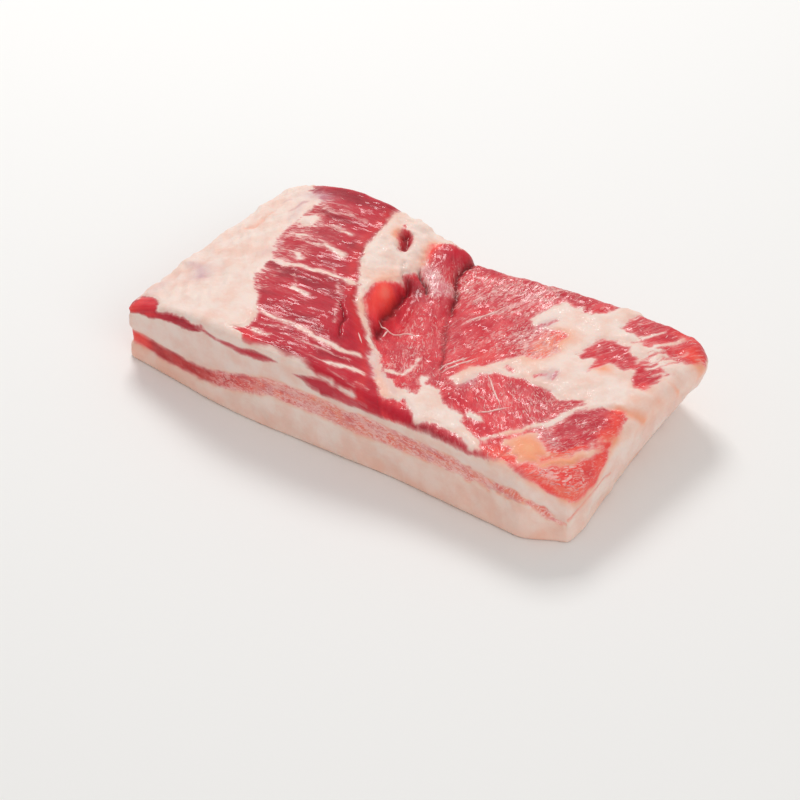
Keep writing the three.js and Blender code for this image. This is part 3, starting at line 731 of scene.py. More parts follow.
# Soft changes of colour on the unrolled plan.
TOP_TINTS: tuple[Tint | TintBand, ...] = (
    # Darker red below 0 and brighter red above it.
    *tints(
        Channel.TONE,
        (-55, -14.5, 25, 4, 0, -0.8), (-25, -38.5, 24, 4, 0, -0.5), (-20, -49.5, 22, 2.6, 0, -0.4),
        (-72, 51, 24, 5, 0, -0.9), (-72, 33, 12, 2.6, 0, -0.6), (-50, 18, 14, 4, 0, -0.5),
        (-45, 5, 14, 4, 0, -0.5), (-45, -8, 12, 2, 0, -0.5), (-24, -61, 18, 3, 0, -0.5),
        (-46, -62, 9, 5, 0, 1.0), (14, -61, 18, 6, 0, 0.5), (-11, -71, 7, 4, 0, -0.6),
        (5, 54, 7, 3.5, -20, -0.5), (23, 15, 5, 6, 0, -0.3), (-14, 46, 5, 13, -20, -0.8),
        (-12, 20, 5, 8, 30, -1.0), (2, 19, 3, 10, 20, -0.4), (98, -16, 4, 11, 0, -0.7),
        (66, -26, 16, 10, -40, 0.3), (76, -12, 10, 5, 10, -0.5), (45, 21, 7, 5, 70, -0.5),
        (16, 40, 5, 7, 0, -0.4), (106, -12, 3.5, 10, 0, -0.4), (48, 57, 9, 5, 0, -0.5),
        (86, 27, 10, 5, 0, -0.2), (107, 24, 6, 6, 0, -0.3), (110, 20, 4, 4, 0, 0.5),
        (52, -59, 20, 3, 0, -1.2), (28, -60, 9, 3, 0, -0.5),
        (((120, -27), (126, -30), (125, -38), (122, -48), (116, -53), (108, -57)), 5.0, 0.8),
    ),
    # Pale film and marbling over the lean, and bare lean below 0.
    *tints(
        Channel.FILM,
        (-67, 17, 12, 5, 0, 0.4), (-70, 41.5, 12, 3, 0, 0.45), (-84, 44, 6, 6, 0, 0.6),
        (-70, -1, 7, 4, 0, 0.35), (-67, -20, 8, 4, 0, 0.32), (-63, -30, 8, 4, 0, 0.26),
        (-46, -29, 12, 2.2, -8, 0.2), (-40, -53, 24, 3, 0, 0.08), (-62, 26, 16, 3, 0, 0.3),
        (((-79, 37), (-73, 35.5), (-66, 37), (-57, 37.5)), 1.4, 1.3),
        (((-74, 22.5), (-66, 26.5), (-61, 27)), 1.0, 1.0),
        (((-80.5, 12), (-81, 8), (-79.5, 4)), 1.4, 1.0),
        (((-73, -10), (-67, -10), (-60, -7.5), (-50, -5), (-40, -4.4)), 1.3, 1.3),
        (((-57, -14.5), (-52, -20.5)), 0.8, 1.0),
        (((-60, -42), (-49, -44.2), (-33.6, -44.1), (-20.2, -45.1), (-9.1, -44.2), (-2, -40)), 0.9, 1.1),
        (((-34, -52), (-24, -51), (-12, -49.5), (-2, -47)), 0.9, 0.9),
        (((-22, -58), (-12, -57), (0, -54.5)), 0.8, 0.7),
        (((-6, -55.5), (1, -52.2), (8.6, -50)), 1.2, 0.9),
        (((-14, -67.5), (-1.6, -63.9), (4.1, -63.3), (13, -62)), 1.1, 1.3),
        (((2, -68.5), (11, -66), (20, -63.6)), 0.8, 0.9),
        (((10, -57.6), (17, -57)), 0.9, 0.9),
        (((-4, -59.4), (5, -58), (12, -59.6)), 0.7, 0.7),
        (((-60, -52), (-46, -51), (-36, -49.5)), 1.0, 0.7),
        (((-41, -50), (-36, -48)), 1.2, 1.0),
        (((-46, 0), (-36, -9), (-30, -15), (-26, -23), (-21, -31)), 0.9, 0.9),
        (5, 42, 10, 12, 0, 0.5), (20, 47, 8, 10, 0, 0.3), (33, 50, 6, 14, 0, 0.5),
        (38, 20, 10, 14, 0, 0.25), (0, -2, 10, 7, -60, 0.2), (12, -22, 10, 7, -60, 0.3),
        (58, 19, 9, 8, 0, 2.2), (78, -18, 11, 10, 0, 0.3), (95, -35, 8, 4, -45, 0.8),
        (103, -14, 4, 14, 0, 0.15), (114, -42, 6, 5, 50, 0.7), (107, -51, 6, 4, 20, 0.5),
        (82, 56, 5, 6, 0, 0.4),
        (((17, 14.6), (21.9, 22.7), (26.1, 33.8), (29.8, 43.8), (35.8, 54.4), (42.8, 59)), 0.9, 1.2),
        (((29.5, 32.7), (34.2, 45.1), (42.1, 53)), 1.0, 1.0),
        (((27, 38), (31, 48), (36, 57)), 0.8, 0.8),
        (((12, 30), (14, 38), (12.5, 46)), 1.0, 0.6),
        (-16, 2, 15, 6, -70, -1.5), (50, -36, 8, 5, 0, -0.5), (70, -45, 9, 6, 0, -0.4),
        (-15, 50, 6, 9, -20, -0.4), (5, 54, 7, 4, -20, -0.5), (24, 15, 5, 6, 0, -0.4),
        (97, 54, 14, 6, 0, -0.3), (34, -60, 18, 5, 0, -0.5), (92, 30, 16, 9, 0, -0.15),
        (-80, -66, 50, 14, 0, -0.6),
    ),
    # Orange red and gold where the muscle or the fat is thin.
    *tints(
        Channel.PEACH,
        (-47, -62, 7, 3, 0, 0.3), (113, -46, 8, 6, 50, 0.18), (108, 19, 6, 3, 20, 0.45),
        ((
            (-52, 50), (-51, 38), (-50, 28), (-46, 17), (-39, 4), (-31, -8), (-22, -17), (-10, -28),
            (0, -37), (8, -48), (12, -56),
        ), 3.2, 0.32),
        (-20, 4, 12, 5, -70, 1.1),
        (((-25, 50), (-25.5, 43), (-22, 37)), 2.6, 0.9),
        (58, 18, 6, 12, 0, 1.25), (40, 0, 10, 8, 0, 0.35), (38, -14, 5, 8, 0, 0.45),
        (88, 19, 4, 5, 30, 0.9), (115, 52, 9, 6, 0, 1.0), (121, 57, 6, 7, 0, 0.25),
        (104, 61, 8, 3, 0, 0.6), (92, -44, 12, 9, -15, 1.15), (93.5, -46, 7, 5, -40, 0.2),
        (85, -55, 9, 4, 0, 0.9), (107, -53, 8, 5, 20, 0.15), (117, -42, 8, 10, -30, 0.35),
        ((
            (113, -18), (117, -24.4), (121, -28.2), (123, -32), (122.8, -37), (120.8, -43.6),
            (117.8, -48.6), (113, -52), (108, -54.6), (103, -56),
        ), 3.4, 0.7),
        ((
            (116.4, -13), (121.4, -22), (126.2, -29.6), (126.6, -37.4), (124.4, -45), (121.6, -50),
            (115.6, -54),
        ), 2.6, 0.5),
        (109.5, -37.5, 13, 4.5, 55, 0.85),
        (((101, -42), (105.6, -35.5), (110, -27)), 1.2, 0.6),
        (((110, -4), (113, -9), (115, -14)), 4.0, 0.75),
        (58, 30, 8, 5, 0, 0.35),
        (((-106.8, 12.4), (-103.8, 14.7), (-104, 21.6), (-102.9, 26.7)), 1.5, 0.35),
        (((107.4, -0.6), (113.4, 2.6), (118.4, 7.4)), 2.4, 0.7),
        (((110, 9.4), (114, 14), (117.6, 18.7)), 2.6, 0.25),
        (121, 32.5, 4.5, 1.6, 30, 0.6), (-40.2, 40, 2.2, 4, 25, 1.0),
        (((11, -44), (17, -49.6), (24, -53.6)), 2.4, 0.4),
        (-19.5, -10, 7, 4, -65, 0.5), (-19, 14, 4, 5, 0, -0.45), (120, 12, 5, 14, 0, 0.25),
        (((-94.6, 30), (-93.4, 35), (-92.4, 38.6)), 1.4, 0.35),
    ),
    # Frayed edges of the valley strand.
    *tints(
        Channel.RAGGED,
        (((0, -31), (5, -37), (9.6, -41.4), (16, -46.6), (23, -50.6), (30, -51)), 6.0, 0.8),
    ),
    # Mauve under the fat and on thin skin.
    *tints(
        Channel.LILAC,
        (((13, -41.6), (19, -46.4), (26, -49.4)), 2.0, 0.35),
        (((-112, -22), (-106, -24), (-101, -28), (-96, -33)), 2.4, 0.55),
        (-100, -28, 8, 9, 30, 0.35), (-96.5, -33, 4, 3, 30, 0.4),
        (((-80.7, -7.3), (-79.7, -2.1)), 2.5, 0.3),
        (((-93, 38), (-91, 30), (-89, 24)), 2.5, 0.35),
        (((-94.6, 30), (-93.4, 35), (-92.4, 38.6)), 1.1, 0.6),
        (((-104, 37), (-102.2, 41)), 0.9, 0.5),
        (-90, 46, 9, 4, -10, 0.9), (-113, -45, 4, 10, 0, 0.35), (71, 2, 4, 4, 0, 0.8),
        (48, 33, 3, 6, 0, 0.6), (45, -22, 3, 5, 0, 0.4), (95, -35, 6, 4, -30, 0.3),
        (((0, -33), (6, -40), (12, -47)), 2.2, 0.45),
    ),
    # Painted shade in the folds and in the pit in the ridge.
    *tints(
        Channel.SHADE,
        (-38.4, 40.6, 1.5, 3.4, 25, 0.55), (-34.4, 36.6, 2, 4.6, 15, 0.4),
        (((-20, 22), (-17.5, 15), (-13.5, 3), (-11.5, -8)), 2.0, 0.45),
        (-16, 21, 4, 6, 40, 0.3),
    ),
)

# Thin pale skin over the roll.
PALE_MEMBRANE = Patch("membrane", FAT, (
    (-23.5, 38.5), (-20.5, 38.5), (-13.6, 34.2), (-8.6, 33), (-4.5, 33), (-2, 30), (-1.9, 25.4),
    (-6, 21.6), (-10.2, 22.9), (-14.2, 27.5), (-19.8, 33.3),
))

# Where the hump ends, and where the middle muscle ends: pairs of y and x.
HUMP_END: Points = (
    (-65, 28), (-52, 18), (-45, 12), (-37, 6), (-30, 0), (-22, -8), (-12, -20), (-5, -27), (3, -33),
    (12, -40), (22, -45), (32, -47), (45, -49), (62, -51),
)
MIDDLE_END: Points = (
    (-65, 50), (-40, 40), (-30, 35), (-20, 29), (-14, 25), (-6, 19), (2, 13), (10, 9), (16, 6), (23, 3),
    (31, -1), (37, -5), (43, -7), (50, -9), (62, -10),
)

# The way the fibres run in each muscle, and how much the grain is stretched along them.
GRAIN_HUMP = math.radians(6)
GRAIN_MIDDLE = math.radians(-60)
GRAIN_RIGHT = math.radians(82)
GRAIN_FRONT = math.radians(-50)
GRAIN_CORNER = math.radians(62)
GRAIN_ISLAND = math.radians(64)
GRAIN_STRETCH = 0.12
GRAIN_STRETCH_FAR = 0.32
GRAIN_STRETCH_SIDE = 0.45


@dataclass
class SurfaceFields:
    """What changes over the slab's surface, one value for each point of its mesh."""

    fat: Array
    channels: dict[Channel, Array]
    grain: Array
    flow: Array

    def store(self, mesh: bpy.types.Mesh) -> None:
        """Write the fields to a mesh as attributes of its points."""
        numbers = {"fat": self.fat, **{channel.value: values for channel, values in self.channels.items()}}
        for name, values in numbers.items():
            layer = mesh.attributes.new(name, "FLOAT", "POINT")
            layer.data.foreach_set("value", values.astype(np.float32))
        for name, vectors in (("grain", self.grain), ("flow", self.flow)):
            layer = mesh.attributes.new(name, "FLOAT_VECTOR", "POINT")
            layer.data.foreach_set("vector", vectors.astype(np.float32).ravel())


class Sock:
    """A value in a node tree that can be used in Python expressions."""

    def __init__(self, tree: "NodeGraph", socket: bpy.types.NodeSocket) -> None:
        """Wrap a socket of a tree."""
        self.tree = tree
        self.socket = socket

    def _math(self, operation: str, *values: Any) -> "Sock":
        """Add a Math node on this and other values."""
        return self.tree.make("ShaderNodeMath", {"operation": operation}, dict(enumerate(values)))

    def __add__(self, other: Any) -> "Sock":
        """Sum."""
        return self._math("ADD", self, other)

    def __radd__(self, other: Any) -> "Sock":
        """Sum with a number on the left."""
        return self._math("ADD", other, self)

    def __sub__(self, other: Any) -> "Sock":
        """Difference."""
        return self._math("SUBTRACT", self, other)

    def __rsub__(self, other: Any) -> "Sock":
        """Difference with a number on the left."""
        return self._math("SUBTRACT", other, self)

    def __mul__(self, other: Any) -> "Sock":
        """Product."""
        return self._math("MULTIPLY", self, other)

    def __rmul__(self, other: Any) -> "Sock":
        """Product with a number on the left."""
        return self._math("MULTIPLY", other, self)

    def beside(self, output: str) -> "Sock":
        """Another output of the same node."""
        return Sock(self.tree, self.socket.node.outputs[output])

    def size(self) -> "Sock":
        """The value without its sign."""
        return self._math("ABSOLUTE", self)

    def clipped(self) -> "Sock":
        """The value held between 0 and 1."""
        return self.tree.make("ShaderNodeClamp", {}, {"Value": self})

    def step(self, low: Any, high: Any) -> "Sock":
        """Smooth step from 0 at low to 1 at high."""
        sockets = {"Value": self, "From Min": low, "From Max": high}
        return self.tree.make("ShaderNodeMapRange", {"interpolation_type": "SMOOTHSTEP"}, sockets)


class NodeGraph:
    """A node tree whose nodes are added one call at a time."""

    def __init__(self, tree: bpy.types.NodeTree) -> None:
        """Wrap a tree."""
        self.tree = tree
        self.nodes = tree.nodes
        self.links = tree.links

    def make(self, kind: str, settings: dict[str, Any], sockets: dict[Any, Any], output: Any = 0) -> Sock:
        """Add any node.

        Args:
            kind: The node's type name.
            settings: Properties of the node, set before its sockets.
            sockets: Values or links, by the socket's name or number.
            output: Name or number of the output to return.

        Returns:
            The chosen output.
        """
        node = self.nodes.new(kind)
        for key, value in settings.items():
            setattr(node, key, value)
        for key, value in sockets.items():
            if isinstance(value, Sock):
                self.links.new(value.socket, node.inputs[key])
            else:
                node.inputs[key].default_value = value
        return Sock(self, node.outputs[output])

    def noise(
        self,
        vector: Sock,
        scale: float,
        detail: float = 3.0,
        rough: float = 0.5,
        warp: float = 0.0,
    ) -> Sock:
        """Noise from 0 to 1 over a vector."""
        return self.make("ShaderNodeTexNoise", {}, {
            "Vector": vector,
            "Scale": scale,
            "Detail": detail,
            "Roughness": rough,
            "Distortion": warp,
        })

    def vector_maths(self, operation: str, a: Any, b: Any) -> Sock:
        """Vector a worked on by vector b."""
        return self.make("ShaderNodeVectorMath", {"operation": operation}, {0: a, 1: b})


class ShaderTree(NodeGraph):
    """A material's node tree."""

    def __init__(self, name: str) -> None:
        """Start a material of this name with an empty tree."""
        self.material = bpy.data.materials.new(name)
        self.material.use_nodes = True
        super().__init__(self.material.node_tree)
        self.nodes.clear()

    def attribute(self, name: str) -> Sock:
        """A number stored on the mesh."""
        return self.make("ShaderNodeAttribute", {"attribute_name": name}, {}, "Fac")

    def vector_attribute(self, name: str) -> Sock:
        """A vector stored on the mesh."""
        return self.make("ShaderNodeAttribute", {"attribute_name": name}, {}, "Vector")

    def place(self) -> Sock:
        """Object coordinates."""
        return self.make("ShaderNodeTexCoord", {}, {}, "Object")

    def colour_mix(self, factor: Any, a: Any, b: Any) -> Sock:
        """Colour a mixed with colour b."""
        settings = {"data_type": "RGBA", "blend_type": "MIX", "clamp_factor": True}
        return self.make("ShaderNodeMix", settings, {0: factor, 6: a, 7: b}, 2)

    def finish(self, shader: Sock) -> bpy.types.Material:
        """Connect the shader to the output and return the material."""
        end = self.nodes.new("ShaderNodeOutputMaterial")
        self.links.new(shader.socket, end.inputs["Surface"])
        return self.material


class GeometryTree(NodeGraph):
    """A Geometry Nodes tree with named inputs."""

    def __init__(self, name: str, inputs: dict[str, tuple[str, Any]]) -> None:
        """Start a tree.

        Args:
            name: The tree's name.
            inputs: Socket type and value of each input, by its name.
        """
        super().__init__(bpy.data.node_groups.new(name, "GeometryNodeTree"))
        self.values = {label: value for label, (_, value) in inputs.items()}
        face = self.tree.interface
        face.new_socket("Geometry", in_out="INPUT", socket_type="NodeSocketGeometry")
        for label, (kind, _) in inputs.items():
            face.new_socket(label, in_out="INPUT", socket_type=kind)
        face.new_socket("Geometry", in_out="OUTPUT", socket_type="NodeSocketGeometry")
        self.entry = self.nodes.new("NodeGroupInput")

    def input(self, label: str) -> Sock:
        """One of the tree's inputs."""
        return Sock(self, self.entry.outputs[label])

    def named(self, name: str, kind: str = "FLOAT") -> Sock:
        """A value stored on the geometry."""
        return self.make("GeometryNodeInputNamedAttribute", {"data_type": kind}, {"Name": name})

    def random(self, low: float, high: float, seed: int) -> Sock:
        """A random number for each point."""
        sockets = {2: low, 3: high, "Seed": seed}
        return self.make("FunctionNodeRandomValue", {"data_type": "FLOAT"}, sockets, 1)

    def finish(self, geometry: Sock, material: bpy.types.Material) -> None:
        """Realize the instances, give them a material and end the tree."""
        real = self.make("GeometryNodeRealizeInstances", {}, {"Geometry": geometry})
        dressed = self.make("GeometryNodeSetMaterial", {}, {"Geometry": real, "Material": material})
        end = self.nodes.new("NodeGroupOutput")
        self.links.new(dressed.socket, end.inputs["Geometry"])

    def grow(self, carrier: bpy.types.Object, name: str) -> bpy.types.Object:
        """Run the tree on an object and keep the result as a plain mesh.

        Args:
            carrier: The object that the tree reads, left without the modifier.
            name: Name of the new object.

        Returns:
            The new object.
        """
        modifier = carrier.modifiers.new(self.tree.name, "NODES")
        modifier.node_group = self.tree
        for item in self.tree.interface.items_tree:
            if item.in_out == "INPUT" and item.name in self.values:
                modifier[item.identifier] = self.values[item.name]
        depsgraph = bpy.context.evaluated_depsgraph_get()
        mesh = bpy.data.meshes.new_from_object(carrier.evaluated_get(depsgraph), depsgraph=depsgraph)
        carrier.modifiers.remove(modifier)
        mesh.name = name
        mesh.shade_smooth()
        grown = bpy.data.objects.new(name, mesh)
        bpy.context.scene.collection.objects.link(grown)
        return grown


def srgb(red: int, green: int, blue: int) -> Colour:
    """A screen colour as the linear colour that shaders take."""
    channels = []
    for value in (red, green, blue):
        c = value / 255
        channels.append(c / 12.92 if c <= 0.04045 else ((c + 0.055) / 1.055) ** 2.4)
    return (*channels, 1.0)


@dataclass(frozen=True)
class MeatFinish:
    """Wet raw muscle and fat, told apart by the fields on the mesh."""

    deep: Colour = srgb(156, 18, 38)
    crimson: Colour = srgb(198, 36, 54)
    bright: Colour = srgb(238, 58, 66)
    frosting: Colour = srgb(232, 156, 158)
    salmon: Colour = srgb(240, 148, 124)
    marbling: Colour = srgb(252, 208, 200)
    orange: Colour = srgb(252, 78, 68)
    fat: Colour = srgb(244, 222, 211)
    fat_warm: Colour = srgb(240, 203, 188)
    fat_gold: Colour = srgb(248, 162, 124)
    mauve: Colour = srgb(196, 150, 164)
    gold: Colour = srgb(247, 188, 142)
    # Colour of the painted shade in creases and pits.
    shadow: Colour = srgb(98, 14, 20)
    subsurface: float = 0.18
    subsurface_radius: Triple = (1.0, 0.35, 0.25)
    subsurface_scale: float = 2.2 * MM
    coat_roughness: float = 0.08
    ior: float = 1.38
    specular: float = 0.22
    bump_strength: float = 0.75
    bump_height: float = 0.6 * MM

    def material(self) -> bpy.types.Material:
        """Build the material.

        Returns:
            The finished material.
        """
        tree = ShaderTree("raw_belly")
        place = tree.vector_maths("MULTIPLY", tree.place(), (1 / MM, 1 / MM, 1 / MM))
        grain = tree.vector_attribute("grain")
        tone, film, peach, lilac, shade, ragged = [tree.attribute(channel.value) for channel in Channel]

        # Where fat is, with frayed edges that soften where the muscle thins out.
        fray = tree.noise(grain, 0.55, 4.0, 0.6) - 0.5
        fine = tree.noise(place, 0.7, 3.0, 0.6) - 0.5
        edge = tree.attribute("fat") + (fray * 3.6 + fine * 1.6) * ragged
        veil = edge.step(-1.8, 0.4)
        softness = (peach - 0.75).clipped() * 6.5
        fat = edge.step(-0.5 - softness, 0.9 + softness)

        # Reds of the lean along its fibres.
        bands = tree.noise(grain, 0.3, 3.0, 0.5, 0.3)
        fibres = tree.noise(grain, 1.1, 3.0, 0.6, 0.6)
        blotches = tree.noise(place, 0.1, 3.0, 0.5, 0.5)
        specks = tree.noise(grain, 0.85, 5.0, 0.66, 1.4)
        mood = tone * 0.6 + (blotches - 0.5) * 1.0 + (bands - 0.5) * 0.6 + (fibres - 0.5) * 0.35
        lean = tree.colour_mix(mood.step(-0.7, 0.0), self.deep, self.crimson)
        lean = tree.colour_mix(mood.step(0.0, 0.8), lean, self.bright)
        lean = tree.colour_mix((peach * (bands * 0.7 + 0.6)).step(0.0, 1.0), lean, self.orange)

        # Film, flecks and fine lines over the lean.
        cover = film.clipped()
        crowding = tree.noise(place, 0.07, 3.0, 0.5, 0.6).step(0.35, 0.65)
        frost = (film * (bands.step(0.35, 0.8) * 0.4 + 0.06) + (film - 1).clipped() * 0.4).clipped()
        flecks = (specks + cover * 0.1 + crowding * 0.08).step(0.6, 0.72) * (cover * 1.2).clipped() * ragged
        crossing = tree.noise(grain, 0.5, 3.0, 0.55, 1.2)
        web = tree.noise(place, 0.2, 3.0, 0.6, 1.0)
        lines = (crossing - 0.5).size().step(0.035, 0.0) * web.step(0.45, 0.62) * cover * ragged
        lean = tree.colour_mix((peach - 0.8).step(0.0, 0.8), lean, self.salmon)
        frosting = tree.colour_mix(peach.clipped(), self.frosting, self.salmon)
        lean = tree.colour_mix(frost, lean, frosting)
        lean = tree.colour_mix((flecks * 0.68 + lines * 0.42 + veil * 0.4).clipped(), lean, self.marbling)

        # Fat, then mauve and painted shade over all.
        lumps = tree.noise(place, 0.09, 4.0, 0.55)
        pale = tree.colour_mix(lumps.step(0.35, 0.7), self.fat, self.fat_warm)
        pale = tree.colour_mix(peach.clipped(), pale, self.fat_gold)
        pale = tree.colour_mix((peach - 1.05).step(0.0, 0.7), pale, self.gold)
        colour = tree.colour_mix(fat, lean, pale)
        colour = tree.colour_mix((lilac * 0.6).clipped(), colour, self.mauve)
        colour = tree.colour_mix((shade * (1 - fat * 0.65)).clipped(), colour, self.shadow)

        # Wet gloss and fine relief.
        wet = tree.noise(grain, 0.9, 4.0, 0.6, 0.6)
        beads = tree.noise(place, 1.3, 2.0, 0.5, 0.4) - 0.5
        drops = (tree.noise(grain, 1.0, 3.0, 0.55, 0.5) - 0.5) * 0.45 + beads * 0.3
        wax = tree.noise(place, 0.4, 3.0, 0.5) - 0.5
        roughness = 0.42 + wet * 0.14 + fat * 0.1
        coat = (wet.step(0.44, 0.64) * 0.5 + 0.04) * (1 - fat * 0.75)
        flesh = (fibres - 0.5) * 0.3 + (specks - 0.5) * 0.4 + drops
        height = flesh * (1 - fat) + (wax * 0.7 + beads * 0.2) * fat
        bump = tree.make("ShaderNodeBump", {}, {
            "Strength": self.bump_strength,
            "Distance": self.bump_height,
            "Height": height,
        })
        shader = tree.make("ShaderNodeBsdfPrincipled", {"subsurface_method": "RANDOM_WALK"}, {
            "Base Color": colour,
            "Roughness": roughness,
            "Coat Weight": coat,
            "Coat Roughness": self.coat_roughness,
            "Subsurface Weight": self.subsurface,
            "Subsurface Radius": self.subsurface_radius,
            "Subsurface Scale": self.subsurface_scale,
            "IOR": self.ior,
            "Specular IOR Level": self.specular,
            "Normal": bump,
        })
        return tree.finish(shader)


@dataclass(frozen=True)
class SinewFinish:
    """Pale moist connective tissue."""

    name: str = "sinew"
    colour: Colour = srgb(250, 212, 204)
    flush: Colour = srgb(240, 172, 166)
    cloud_scale: float = 300.0

    def material(self) -> bpy.types.Material:
        """Build the material."""
        tree = ShaderTree(self.name)
        cloud = tree.noise(tree.place(), self.cloud_scale)
        colour = tree.colour_mix(cloud.step(0.4, 0.65), self.colour, self.flush)
        shader = tree.make("ShaderNodeBsdfPrincipled", {}, {
            "Base Color": colour,
            "Roughness": 0.4,
            "Coat Weight": 0.2,
            "Coat Roughness": 0.1,
            "Specular IOR Level": 0.3,
        })
        return tree.finish(shader)


@dataclass(frozen=True)
class FloorFinish:
    """Plain pale studio floor."""

    colour: Colour = srgb(243, 242, 240)
    cloud: Colour = srgb(238, 238, 238)
    cloud_scale: float = 3.0
    roughness: float = 0.7

    def material(self) -> bpy.types.Material:
        """Build the material."""
        tree = ShaderTree("studio_floor")
        cloud = tree.noise(tree.place(), self.cloud_scale)
        shader = tree.make("ShaderNodeBsdfPrincipled", {}, {
            "Base Color": tree.colour_mix(cloud * 0.1, self.colour, self.cloud),
            "Roughness": self.roughness,
        })
        return tree.finish(shader)


@dataclass
class Skin:
    """The slab's skin while it is built.

    The plan is the top face unrolled over the rim and down the sides, the share says how much of
    a point belongs to the top face, and the outward normals are those of the plan outline.
    """

    points: Array
    plan: Array
    top_share: Array
    outward: Array
    faces: list[tuple[int, ...]] = field(default_factory=list)
    front_facing: float = -0.6
    right_facing: float = 0.75
    whole_top: float = 0.999

    def add(self, points: Array, plan: Array, share: Array, outward: Array) -> Array:
        """Add points and return their indices."""
        start = len(self.points)
        self.points = np.vstack([self.points, points])
        self.plan = np.vstack([self.plan, plan])
        self.top_share = np.concatenate([self.top_share, share])
        self.outward = np.vstack([self.outward, outward])
        return np.arange(start, start + len(points))

    def front(self) -> Array:
        """Which points face the front."""
        return self.outward[:, 1] < self.front_facing

    def right(self) -> Array:
        """Which points face the right end."""
        return (self.outward[:, 0] > self.right_facing) & ~self.front()

    def past_top(self) -> Array:
        """Which points are on the rim or the sides."""
        return self.top_share < self.whole_top


@dataclass(frozen=True)
class Relief:
    """How far the fine forms of the surface stand out of the smooth skin."""

    fat: float = 0.6
    lumps: float = 0.4
    small_lumps: float = 0.1
    fibres: float = 0.1
    sunk_lean: float = 0.6
    sunk_lean_left: float = 1.3
    foot_lumps: float = 0.8
    cover_folds: float = 0.8
    right_knobs: float = 0.6
    left_knobs: float = 0.7
    back_lumps: float = 0.5


